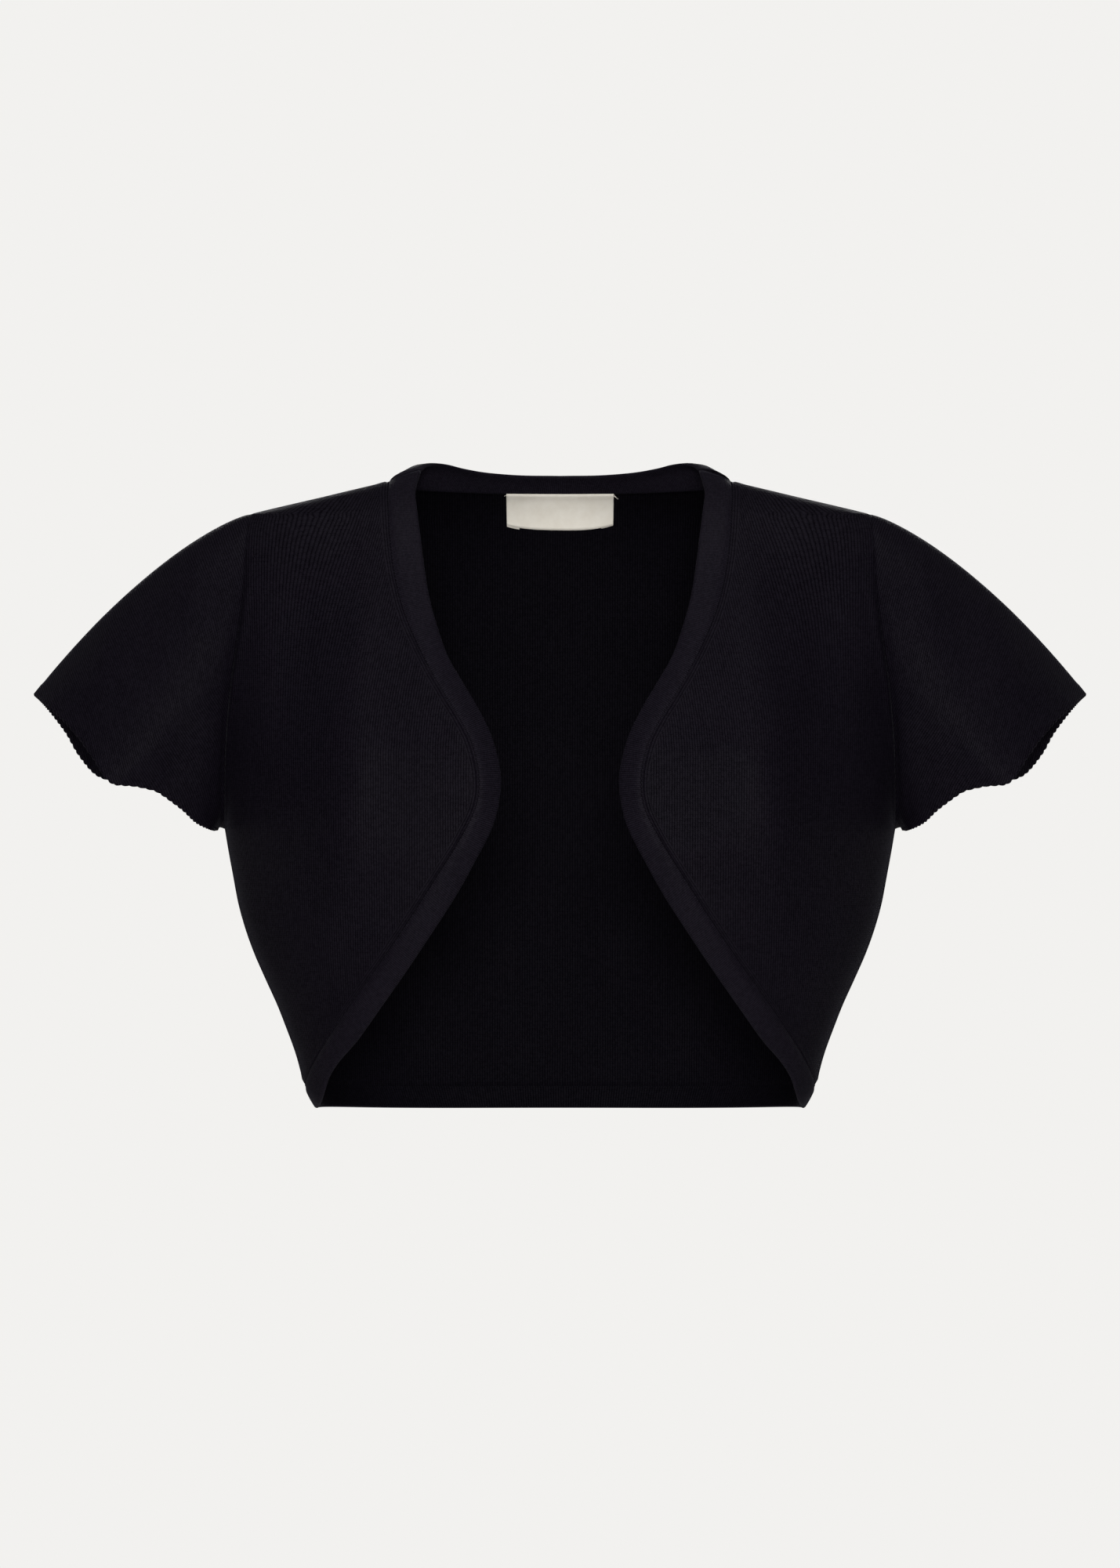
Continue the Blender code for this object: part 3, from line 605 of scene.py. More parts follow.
fronts = {"left": front_grid(1), "right": front_grid(-1)}
back_halves = {"left": back_half(1), "right": back_half(-1)}
back_points = np.concatenate(
    [back_halves["left"], mirrored(back_halves["right"][:, :-1][:, ::-1])], axis=1
)
print("front", fronts["left"].shape, "back", back_points.shape)


# %% Sleeves
def sleeve_grid(side_name):
    """One sleeve, as if it were the wearer's left: a straight blend by a share from the armhole to
    the hem, and a bulge of 4 s (1 - s) between them, where s is the share to the power of lean. The
    bulge differs at the top, the sides and the underarm."""
    side = 1 if side_name == "left" else -1
    front = fronts[side_name]
    back = back_halves[side_name]
    armhole = np.concatenate([front[: ARMHOLE_ROWS + 1, 0], back[1:ARMHOLE_ROWS, 0][::-1]])
    turn = 180 * eased(ARMHOLE_ROWS)
    angle = np.concatenate([turn, 360 - turn[1:-1][::-1]])
    turns = np.concatenate([SLEEVE_HEM["angle"] + whole for whole in (-360, 0, 360)])
    around = {
        name: smooth(turns, np.tile(SLEEVE_HEM[name], 3), angle)
        for name in ("along", "drop", "depth")
    }
    flat = SLEEVE_TIP + around["along"][:, None] * SLEEVE_HEM_LINE
    flat = flat + around["drop"][:, None] * SLEEVE_HEM_DROP
    hem = np.stack([flat[:, 0], around["depth"], flat[:, 1]], axis=1)
    cos = np.cos(np.radians(angle))[:, None]
    sin = np.sin(np.radians(angle))[:, None]
    out = cos * SLEEVE_UP + sin * np.array([0, -1.0, 0])
    tilt = 0.5 * (SLEEVE_BULGE["top"] - SLEEVE_BULGE["underarm"])
    pinch = 0.5 * (SLEEVE_BULGE["top"] + SLEEVE_BULGE["underarm"]) - SLEEVE_BULGE["side"]
    bulge = SLEEVE_BULGE["side"] + tilt * cos + pinch * cos**2
    step = eased(SLEEVE_RINGS)[:, None, None]
    share = step + SLEEVE_BULGE["lag"] * (1 - cos) * step * (1 - step)
    early = share ** SLEEVE_BULGE["lean"]
    grid = (1 - share) * armhole + share * hem + 4 * early * (1 - early) * bulge * out
    rise = folds(SLEEVE_CREASES, side * grid[..., 0], grid[..., 2])
    fade = step_up(share[..., 0], 0, SLEEVE_BULGE["fade"]) * np.abs(sin[:, 0]) ** 0.5
    return grid + (rise * fade)[..., None] * out


sleeves = {name: sleeve_grid(name) for name in ("left", "right")}
print("sleeve", sleeves["left"].shape)

# %% [markdown]
# ## Which way the cloth faces
#
# A wall is made by moving a surface out and in along its normals. Where two pieces are sewn
# together they have to face the same way, or a slit of light opens at the seam, so the normals at
# a shared point are averaged.


# %% Normals
def normals_of(grid, closed=False):
    """At each point the sum of the quads' own normals round it, which are the cross products of
    their diagonals, made one long."""
    if closed:
        grid = np.concatenate([grid, grid[:, :1]], axis=1)
    facing = np.cross(grid[1:, :-1] - grid[:-1, 1:], grid[1:, 1:] - grid[:-1, :-1])
    total = np.zeros(grid.shape)
    for down in (slice(None, -1), slice(1, None)):
        for across in (slice(None, -1), slice(1, None)):
            total[down, across] += facing
    if closed:
        total[:, 0] += total[:, -1]
        total = total[:, :-1]
    return unit(total)


class Panel:
    """A piece of cloth: its grid of points and the way that it faces at each of them."""

    def __init__(self, grid, outward, closed=False):
        self.grid = grid
        self.normals = outward * normals_of(grid, closed)


class Band:
    """The doubled band: its linked seam, its folded free edge and the way it faces."""

    def __init__(self, seam, free, arch, outward):
        self.seam = seam
        self.free = free
        self.arch = np.broadcast_to(arch, (len(seam),))[:, None]
        self.facing = outward * unit(np.cross(free - seam, np.gradient(seam + free, axis=0)))
        self.seam_facing = self.facing


def share_normals(panels, bands):
    """Points of different pieces that lie within a thousandth of a millimetre get the average of
    their normals."""
    parts = [(panel.grid, panel.normals) for panel in panels]
    parts += [(band.seam, band.facing) for band in bands]
    parts += [(band.free, band.facing) for band in bands]
    points = np.concatenate([part[0].reshape(-1, 3) for part in parts])
    facing = np.concatenate([part[1].reshape(-1, 3) for part in parts])
    group = np.unique(np.round(points, 3), axis=0, return_inverse=True)[1].reshape(-1)
    total = np.zeros((group.max() + 1, 3))
    np.add.at(total, group, facing)
    cuts = np.cumsum([part[1].size // 3 for part in parts])[:-1]
    shared = np.split(unit(total)[group], cuts)
    for number, panel in enumerate(panels):
        panel.normals = shared[number].reshape(panel.grid.shape)
    for number, band in enumerate(bands, len(panels)):
        band.seam_facing = shared[number]
        band.facing = shared[number + len(bands)]


# %% [markdown]
# ## The band
#
# On the shrug the band is knitted double, folded over at its free edge and linked to the cloth
# loop by loop. It is one band on the real garment, and it is made in the four stretches of the
# solids. Each needs only its two edges: the strip between them gets its thickness later.


# %% Band lines
def front_band(name, side):
    """Down the front's last column and back along its last row, to the foot of the side seam."""
    front = fronts[name]
    line = np.concatenate([front[:, -1], front[-1, :-1][::-1]])
    return line, front_free_edge(line, side)


def neck_half(name, side):
    """Half of the neck band's seam and free edge, with the arch between them."""
    half = back_halves[name][0, SHOULDER_COLUMNS:]
    seam = on_body(NECK_BAND["seam_x"], NECK_BAND["seam_z"], "back", side)[::-1]
    seam[0, 1] = 0
    at = match(seam, half)
    free = np.stack([NECK_BAND["free_x"], -NECK_BAND["lean"], NECK_BAND["free_z"]], axis=1)[::-1]
    free[:, 1] += seam[:, 1]
    arch = np.interp(at, np.arange(len(seam)), NECK_BAND["arch"][::-1])
    return half, through(free, at), arch


def hem_band():
    """Along the foot of the back, from one side seam to the other."""
    line = back_points[-1]
    x = np.abs(line[:, 0])
    drawn_in = half_width(HEM_SIDE_Z, "back") / half_width(SIDE_SEAM_FOOT_Z, "back")
    z = hem_seam_z(x) + HEM_SIDE_Z - SIDE_SEAM_FOOT_Z
    free = on_body(x * drawn_in, z, "back", 1)
    other = on_body(x * drawn_in, z, "back", -1)
    free = np.where(line[:, :1] < 0, mirrored(other), free)
    free[[0, -1], 1] = 0
    return line, free


left_line, left_free = front_band("left", 1)
right_line, right_free = front_band("right", -1)
neck_left = neck_half("left", 1)
neck_right = neck_half("right", -1)
neck_line = np.concatenate([neck_left[0], mirrored(neck_right[0][:-1])[::-1]])
neck_free = np.concatenate([neck_left[1], mirrored(neck_right[1][:-1])[::-1]])
neck_arch = np.concatenate([neck_left[2], neck_right[2][:-1][::-1]])
hem_line, hem_free = hem_band()

panels = {
    "back": Panel(back_points, 1),
    "front_left": Panel(fronts["left"], -1),
    "front_right": Panel(mirrored(fronts["right"]), 1),
    "sleeve_left": Panel(sleeves["left"], -1, closed=True),
    "sleeve_right": Panel(mirrored(sleeves["right"]), 1, closed=True),
}
bands = {
    "front_band_left": Band(left_line, left_free, BAND_ARCH, 1),
    "front_band_right": Band(mirrored(right_line), mirrored(right_free), BAND_ARCH, -1),
    "neck_band": Band(neck_line, neck_free, neck_arch, -1),
    "hem_band": Band(hem_line, hem_free, HEM_ARCH, 1),
}
share_normals(list(panels.values()), list(bands.values()))
for name, band in bands.items():
    print(name, "seam", round(lengths_along(band.seam)[-1]), "mm")

# %% [markdown]
# ## What a seam does to the cloth
#
# A linked seam pulls the cloth in to a narrow groove, and the turnings inside lift it again a few
# millimetres away. On the armhole only the body's side is lifted, and the sleeve falls away from
# it in a small shadow. Each is a bell of the distance from the seam, added along the normal.

# %% Seam relief
SEAM_SINK = 0.5
SEAM_REACH = 1.2
SHOULDER_SINK = 0.2
SEAM_LIFT = {"band": 0.2, "neck": 0.3, "shoulder": 0.3, "armhole_front": 0.6, "armhole_back": 0.5}
SWELL = {"away": 4.2, "reach": 2.3, "start": 1, "full": 3}
SHADOW = {"rise": 0.5, "away": 3.4, "reach": 2.4, "start": 2, "hem": 6}
ARMHOLE_SEEN_BELOW = (-62, -24)
NECK_END = 100.8


def running_length(grid):
    """For each point the distance along its row from the first point: the sum of the steps."""
    steps = np.linalg.norm(np.diff(grid, axis=1), axis=2)
    return np.concatenate([np.zeros((len(grid), 1)), np.cumsum(steps, axis=1)], axis=1)


def reach_across(grid):
    """For each point its distance, along its row, from the row's two ends."""
    start = running_length(grid)
    return start, start[:, -1:] - start


def reach_down(grid):
    """For each point its distance, along its column, from the column's two ends."""
    first, last = reach_across(grid.transpose(1, 0, 2))
    return first.T, last.T


def bell(distance, middle, width):
    """1 at the middle, falling to both sides as exp(-t^2), where t counts widths."""
    return np.exp(-(((distance - middle) / width) ** 2))


def seam_relief(seams):
    """The deepest of the grooves, each a bell of the distance from its seam, and swells of their
    own height a little way from each seam. seams lists (distance, sink, lift)."""
    grooves = [sink * bell(away, 0, SEAM_REACH) for away, sink, lift in seams]
    swells = [lift * bell(away, SWELL["away"], SWELL["reach"]) for away, sink, lift in seams]
    nearest = np.min([away for away, sink, lift in seams], axis=0)
    return sum(swells) * step_up(nearest, SWELL["start"], SWELL["full"]) - np.max(grooves, axis=0)


def below_shoulder(z):
    """The armhole seam lies smooth over the shoulder and starts to show lower down."""
    return 1 - step_up(z, *ARMHOLE_SEEN_BELOW)


for name in ("front_left", "front_right", "back"):
    panel = panels[name]
    outer, inner = reach_across(panel.grid)
    top, foot = reach_down(panel.grid)
    seen = below_shoulder(panel.grid[:, :1, 2])
    seams = [(foot, SEAM_SINK, SEAM_LIFT["band"]), (top, SHOULDER_SINK, SEAM_LIFT["shoulder"])]
    if name == "back":
        at_neck = np.abs(panel.grid[0, :, 0]) < NECK_END
        along = np.minimum(
            np.abs(outer - outer[:, SHOULDER_COLUMNS][:, None]),
            np.abs(inner - inner[:, -1 - SHOULDER_COLUMNS][:, None]),
        )
        neck = np.where(at_neck, top, np.hypot(top, along))
        seams.append((neck, SEAM_SINK, SEAM_LIFT["neck"]))
        for armhole in (outer, inner):
            seams.append((armhole, SEAM_SINK * seen, SEAM_LIFT["armhole_back"] * seen))
        panel.beside = np.stack([np.minimum(neck, foot), panel.grid[..., 0]], axis=-1)
    else:
        seams.append((inner, SEAM_SINK, SEAM_LIFT["band"]))
        seams.append((outer, SEAM_SINK * seen, SEAM_LIFT["armhole_front"] * seen))
        down = lengths_along(panel.grid[:, -1])
        away = down[-1] + lengths_along(panel.grid[-1, ::-1])[::-1]
        along = np.where(inner < foot, down[:, None], away[None])
        panel.beside = np.stack([np.minimum(inner, foot), along], axis=-1)
    panel.relief = seam_relief(seams)

for name in ("sleeve_left", "sleeve_right"):
    panel = panels[name]
    armhole_away, hem_away = reach_down(panel.grid)
    seen = below_shoulder(panel.grid[:1, :, 2])
    shadow = SHADOW["rise"] * bell(armhole_away, SHADOW["away"], SHADOW["reach"])
    shadow = shadow * step_up(armhole_away, 0, SHADOW["start"])
    shadow = shadow * step_up(hem_away, 0, SHADOW["hem"])
    panel.relief = -seen * (SEAM_SINK * bell(armhole_away, 0, SEAM_REACH) + shadow)
    panel.hem_away = hem_away
    panel.turned = 0.5 * (hem_away - armhole_away)

# %% [markdown]
# ## Where the stitches run
#
# Knit has columns of stitches, the wales, and rows, the courses. A pattern that follows the cloth
# needs its own coordinates, so each point gets them in metres: on the body the distance round the
# level section and the height. On a sleeve the wales lie midway between the ways of the armhole
# and the hem, so the first number is half the difference of the distances from the two, and the
# second is the distance round the arm. Near the neck the shoulder pulls the fronts' wales over to
# the side.

# %% Knit coordinates
LEVELS = 150
LEVEL_POINTS = 160
LEVEL_TOP = 13
LEVEL_FOOT = -362
WALE_LEAN = {"share": 0.30, "from": -150, "ease": 60, "inner": 110, "outer": 185}


def round_the_body(x, z, face):
    """The length of the level section from the middle to a width: the sum of short steps of the
    oval, looked up by height and by share of the half width."""
    levels = np.linspace(LEVEL_TOP, LEVEL_FOOT, LEVELS)[:, None]
    shares = np.sin(np.linspace(0, 0.5 * math.pi, LEVEL_POINTS))[None]
    square = section("square", levels)
    deep = section(face, levels) * (1 - shares**square) ** (1 / square)
    lengths = running_length(np.stack([shares * half_width(levels, face), deep], axis=-1))
    row = (LEVEL_TOP - z) / (LEVEL_TOP - LEVEL_FOOT) * (LEVELS - 1)
    row = np.clip(row, 0, LEVELS - 1.001)
    share = np.clip(np.abs(x) / half_width(z, face), 0, 1)
    column = np.arcsin(share) / (0.5 * math.pi) * (LEVEL_POINTS - 1)
    column = np.clip(column, 0, LEVEL_POINTS - 1.001)
    r, c = row.astype(int), column.astype(int)
    fr, fc = row - r, column - c
    near = lengths[r, c] * (1 - fc) + lengths[r, c + 1] * fc
    far = lengths[r + 1, c] * (1 - fc) + lengths[r + 1, c + 1] * fc
    return near * (1 - fr) + far * fr


def body_knit(panel, face):
    """(distance round the body, height) for each point. On a front the wales lean towards the neck
    by a share of the height above a level, fading out beside the armhole."""
    x, z = panel.grid[..., 0], panel.grid[..., 2]
    u = round_the_body(x, z, face)
    if face == "front":
        above = np.maximum(z - WALE_LEAN["from"], 0)
        lean = WALE_LEAN["share"] * above**2 / (above + WALE_LEAN["ease"])
        u = u + lean * (1 - step_up(np.abs(x), WALE_LEAN["inner"], WALE_LEAN["outer"]))
    return np.stack([np.sign(x + 1e-9) * u, z], axis=-1)


panels["back"].knit = body_knit(panels["back"], "back")
panels["front_left"].knit = body_knit(panels["front_left"], "front")
panels["front_right"].knit = body_knit(panels["front_right"], "front")
print("round the back, half", round(float(panels["back"].knit[..., 0].max())), "mm")

# %% [markdown]
# ## From surfaces to meshes
#
# A wall of cloth has an outer face, an inner face and a narrow edge. The Solidify modifier could
# add it, but it knows nothing of the piece next door, so both faces are worked out here with the
# shared normals. Each corner of a face also carries the knit coordinates, as a UV map in metres,
# and a second UV map with the distance from the band's seam. The narrow edges are shaded flat, or
# they would catch the light as bright lines along the seams.

# %% Mesh helpers
FAR_AWAY = 99.0


def grid_faces(number):
    """The quads between neighbours of a grid of point numbers."""
    parts = (number[:-1, :-1], number[1:, :-1], number[1:, 1:], number[:-1, 1:])
    return np.stack(parts, axis=-1).reshape(-1, 4)


def strip_faces(upper, lower):
    """The quads between two lines of point numbers."""
    return np.stack([upper[:-1], upper[1:], lower[1:], lower[:-1]], axis=-1)


def corner_maps(knit, corners, flat, beside=None):
    """What the faces carry: at each corner the knit coordinates and the place beside the band's
    seam, and for each face whether it is shaded flat."""
    maps = {"knit": knit.reshape(-1, 2)[corners], "flat": flat}
    maps["beside"] = np.full((len(corners), 2), FAR_AWAY)
    if beside is not None:
        maps["beside"] = beside.reshape(-1, 2)[corners]
    return maps


def wall_parts(outer, inner, knit, beside=None, closed=False, lip=None):
    """A closed wall between two grids. Its corners look up the knit coordinates by numbers of their
    own, because a sleeve's last column meets its first with another coordinate. lip is a line of
    points beyond the last row, where doubled cloth folds over."""
    rows, columns = outer.shape[:2]
    point = np.arange(rows * columns).reshape(rows, columns)
    if closed:
        point = np.concatenate([point, point[:, :1]], axis=1)
    corner = np.arange(point.size).reshape(point.shape)
    below = point + rows * columns
    points = [outer.reshape(-1, 3), inner.reshape(-1, 3)]
    faces = [grid_faces(point), grid_faces(below)[:, ::-1]]
    smooth_count = 2 * len(faces[0])
    corners = [grid_faces(corner), grid_faces(corner)[:, ::-1]]
    edges = [(point[0], below[0], corner[0])]
    if lip is None:
        edges.append((point[-1], below[-1], corner[-1]))
    else:
        points.append(lip)
        fold = 2 * rows * columns + np.arange(columns)
        fold = np.append(fold, fold[0]) if closed else fold
        edges += [(side, fold, corner[-1]) for side in (point[-1], below[-1])]
    if not closed:
        edges += [(point[:, end], below[:, end], corner[:, end]) for end in (0, -1)]
    for upper, lower, at in edges:
        faces.append(strip_faces(upper, lower))
        corners.append(strip_faces(at, at))
    faces = np.concatenate(faces)
    flat = (np.arange(len(faces)) >= smooth_count) & (lip is None)
    maps = corner_maps(knit, np.concatenate(corners).reshape(-1), flat, beside)
    return np.concatenate(points), faces, maps


def tube_parts(rings, knit):
    """A closed tube from rings of points, with its two ends filled by fans round their middles."""
    count, around = rings.shape[:2]
    point = np.arange(count * around).reshape(count, around)
    point = np.concatenate([point, point[:, :1]], axis=1)
    corner = np.arange(point.size).reshape(point.shape)
    faces = [grid_faces(point)]
    corners = [grid_faces(corner)]
    points = [rings.reshape(-1, 3), rings[0].mean(axis=0)[None], rings[-1].mean(axis=0)[None]]
    for ring, middle in ((0, count * around), (-1, count * around + 1)):
        centre = np.full(around, middle)
        faces.append(np.stack([point[ring, :-1], point[ring, 1:], centre, centre], axis=-1))
        start, end = corner[ring, :-1], corner[ring, 1:]
        corners.append(np.stack([start, end, end, start], axis=-1))
    flat = np.arange(len(faces[0]) + 2 * around) >= len(faces[0])
    maps = corner_maps(knit, np.concatenate(corners).reshape(-1), flat)
    return np.concatenate(points), np.concatenate(faces), maps


def joined(parts):
    """Several sets of points and faces as one."""
    shift = np.cumsum([0] + [len(part[0]) for part in parts[:-1]])
    points = np.concatenate([part[0] for part in parts])
    faces = np.concatenate([part[1] + start for part, start in zip(parts, shift)])
    maps = {name: np.concatenate([part[2][name] for part in parts]) for name in parts[0][2]}
    return points, faces, maps


def put_in_scene(name, data):
    """A new object that holds a mesh, a lamp or a camera, linked to the scene."""
    item = bpy.data.objects.new(name, data)
    bpy.context.scene.collection.objects.link(item)
    return item


def make_piece(name, parts, material, inside=None, painted_shade_faces=None):
    """Puts points, faces and UV maps into a mesh, turns the faces outwards and links the object. A
    wall's inner faces may take a second material, the darker inside yarn that is painted shade, on
    the faces that the last argument lists."""
    points, faces, maps = parts
    mesh = bpy.data.meshes.new(name)
    fans = faces[:, 2] == faces[:, 3]
    sizes = np.where(fans, 3, 4)
    keep = np.ones(faces.shape, bool)
    keep[fans, 3] = False
    starts = np.concatenate([[0], np.cumsum(sizes)[:-1]])
    corners = faces[keep]
    mesh.vertices.add(len(points))
    mesh.vertices.foreach_set("co", (points * MM).astype(np.float32).ravel())
    mesh.loops.add(len(corners))
    mesh.loops.foreach_set("vertex_index", corners.astype(np.int32))
    mesh.polygons.add(len(faces))
    mesh.polygons.foreach_set("loop_start", starts.astype(np.int32))
    for layer in ("knit", "beside"):
        uv = mesh.uv_layers.new(name=layer)
        values = (maps[layer] * MM).reshape(-1, 4, 2)[keep]
        uv.data.foreach_set("uv", values.astype(np.float32).ravel())
    # the listed faces take the second material, the painted shade
    if painted_shade_faces is not None:
        which = np.zeros(len(faces), np.int32)
        which[painted_shade_faces] = 1
        mesh.polygons.foreach_set("material_index", which)
    mesh.update(calc_edges=True)
    mesh.validate()
    solid = bmesh.new()
    solid.from_mesh(mesh)
    bmesh.ops.recalc_face_normals(solid, faces=solid.faces)
    solid.to_mesh(mesh)
    solid.free()
    mesh.shade_smooth()
    mesh.polygons.foreach_set("use_smooth", ~maps["flat"])
    mesh.materials.append(material)
    if inside is not None:
        mesh.materials.append(inside)
    mesh.calc_loop_triangles()
    print(name, len(mesh.loop_triangles), "triangles")
    return put_in_scene(name, mesh)


# %% [markdown]
# ## The knit as a shader
#
# Fine jersey is thousands of small V stitches. Modelled one by one they would cost millions of
# faces, and the eye reads only their ribs and speckle from here, so they are a pattern on the
# knit coordinates. Body, sleeves and band differ only in pitch and direction, so the pattern is
# one node group. It puts out a height for the bump and a tone for the colour, which holds the fibre
# grain and speckle and painted shade between the wales and stitches.


# %% Node helpers
def set_inputs(tree, node, inputs):
    """Fills a node's inputs, by name or number. A value is a socket to link or a plain value."""
    for key, value in inputs.items():
        if isinstance(value, bpy.types.NodeSocket):
            tree.links.new(value, node.inputs[key])
        else:
            node.inputs[key].default_value = value


def add_node(tree, kind, inputs, **settings):
    """A shader node with its settings and inputs. It gives back the node's outputs."""
    node = tree.nodes.new("ShaderNode" + kind)
    for key, value in settings.items():
        setattr(node, key, value)
    set_inputs(tree, node, inputs)
    return node.outputs


def number_node(tree, operation, *values):
    """A Math node's output, for sockets or plain numbers."""
    return add_node(tree, "Math", dict(enumerate(values)), operation=operation)[0]


def noise_node(tree, vector, scale, detail, roughness=0.5):
    """Soft noise from 0 to 1, whose scale counts its waves in a metre."""
    inputs = {"Vector": vector, "Scale": scale, "Detail": detail, "Roughness": roughness}
    return add_node(tree, "TexNoise", inputs)["Fac"]


def fade_node(tree, value, low, high):
    """1 below low, 0 above high, and a smooth step between."""
    ends = {"From Min": low, "From Max": high, "To Min": 1.0, "To Max": 0.0}
    return add_node(tree, "MapRange", {"Value": value, **ends}, interpolation_type="SMOOTHSTEP")[0]


def colour_node(tree, share, dark, light, **settings):
    """A colour between dark, at a share of 0, and light, at 1."""
    inputs = {"Factor": share, "A": dark, "B": light}
    return add_node(tree, "Mix", inputs, data_type="RGBA", **settings)["Result"]


def bump_node(tree, height, strength, distance):
    """A normal bent by a height, whose full size is the distance in metres."""
    return add_node(tree, "Bump", {"Strength": strength, "Distance": distance, "Height": height})[0]


def new_material(name):
    """A material with its node tree and its Principled shader."""
    material = bpy.data.materials.new(name)
    material.use_nodes = True
    return material, material.node_tree, material.node_tree.nodes["Principled BSDF"]


# %% The knit group
def fine_knit_group():
    """Height and tone of jersey. One rib for each wale, 1 - leg^2 high, where leg is 0 in the
    middle of a rib and 1 between two. Along it the stitches swell as a cosine that slants. The tone
    is this height as painted shade between wales and stitches, plus fibre fuzz, a speckle for each
    stitch and a soft cloud."""
    group = bpy.data.node_groups.new("fine_knit", "ShaderNodeTree")
    for label, kind in (("Place", "Vector"), ("Wale", "Float"), ("Course", "Float")):
        group.interface.new_socket(label, in_out="INPUT", socket_type="NodeSocket" + kind)
    for label in ("Height", "Tone_with_painted_rib_shade"):
        group.interface.new_socket(label, in_out="OUTPUT", socket_type="NodeSocketFloat")
    put = group.nodes.new("NodeGroupInput").outputs
    out = group.nodes.new("NodeGroupOutput")
    number = partial(number_node, group)
    place = put["Place"]
    split = add_node(group, "SeparateXYZ", {0: place})
    wander = number("MULTIPLY", number("SUBTRACT", noise_node(group, place, 90, 2), 0.5), 0.0007)
    across = number("DIVIDE", number("ADD", split["X"], wander), put["Wale"])
    leg = number("ABSOLUTE", number("MULTIPLY_ADD", number("FRACT", across), 2.0, -1.0))
    slant = number("MULTIPLY", leg, 0.5)
    along = number("ADD", number("DIVIDE", split["Y"], put["Course"]), slant)
    wave = number("COSINE", number("MULTIPLY", along, 2 * math.pi))
    rib = number("SUBTRACT", 1.0, number("POWER", leg, 2.0))
    stitch = number("MULTIPLY", rib, number("MULTIPLY_ADD", wave, 0.16, 0.80))
    fuzz = noise_node(group, place, 2100, 2, 0.7)
    stitch_number = {0: number("FLOOR", across), 1: number("FLOOR", along)}
    cell = add_node(group, "CombineXYZ", stitch_number)[0]
    speckle = add_node(group, "TexWhiteNoise", {"Vector": cell}, noise_dimensions="2D")["Value"]
    cloud = noise_node(group, place, 22, 3)
    # painted shade: the tone is lowest where the stitch is lowest, between the wales and stitches
    tone = number("MULTIPLY", stitch, 0.38)
    for part, weight in ((speckle, 0.13), (fuzz, 0.70), (cloud, 0.08)):
        tone = number("MULTIPLY_ADD", part, weight, tone)
    height = number("ADD", stitch, number("MULTIPLY", fuzz, 0.35))
    set_inputs(group, out, {"Height": height, "Tone_with_painted_rib_shade": tone})
    return group


FINE_KNIT = fine_knit_group()


def place_knit(tree, uv_name, wale, course):
    """The knit group in a material, on one UV map and with its own pitches in millimetres."""
    place = add_node(tree, "UVMap", {}, uv_map=uv_name)[0]
    inputs = {"Place": place, "Wale": wale * MM, "Course": course * MM}
    return add_node(tree, "Group", inputs, node_tree=FINE_KNIT), place


# %% [markdown]
# ## The yarn
#
# The yarn is near black, a little to the violet, and matt. Its tone, the fibre grain with painted
# shade in the grooves between the wales, is stretched round its mean, so that the fibre ends stand
# out as a fine grain. A common shine would draw a white rim wherever the cloth turns away, so the
# shine fades there and a faint sheen takes its place. Beside the band's seam two or three wales run
# along the seam instead, as where the edge was gathered on to the linker, so there the pattern
# reads the second UV map. The band's yarn is lighter than the body's, which is painted light on the
# band, and the inner faces take a darker copy with less shine, which is painted shade inside the
# cloth.

# %% Yarn materials
GRAIN = 1.8
MEAN_TONE = 0.655
LEAST_TONE = 0.03
SEAM_WALES = {"wale": 1.6, "full": 0.0040, "none": 0.0052}
BUMP_DEPTH = 0.0004
YARN_DARK = (0.0008, 0.0006, 0.0012, 1.0)
YARN_LIGHT = (0.0080, 0.0065, 0.0106, 1.0)
# painted light: the band's light end is brighter than the body yarn's, which lights up the band
BAND_PAINTED_LIGHT = (0.0120, 0.0100, 0.0155, 1.0)
# painted shade: a darker copy of the yarn for the inner faces, as though they lay in shadow
INSIDE_PAINTED_SHADE = {"dark": (0.0006, 0.0005, 0.0010, 1.0), "light": (0.0048, 0.0041, 0.0062, 1.0)}
SEWING = {"dark": (0.0016, 0.0014, 0.0022, 1.0), "light": (0.006, 0.005, 0.008, 1.0)}
YARN_SHEEN = {
    "Roughness": 0.55,
    "Sheen Weight": 0.022,
    "Sheen Roughness": 0.25,
    "Sheen Tint": (0.86, 0.84, 1.0, 1.0),
}


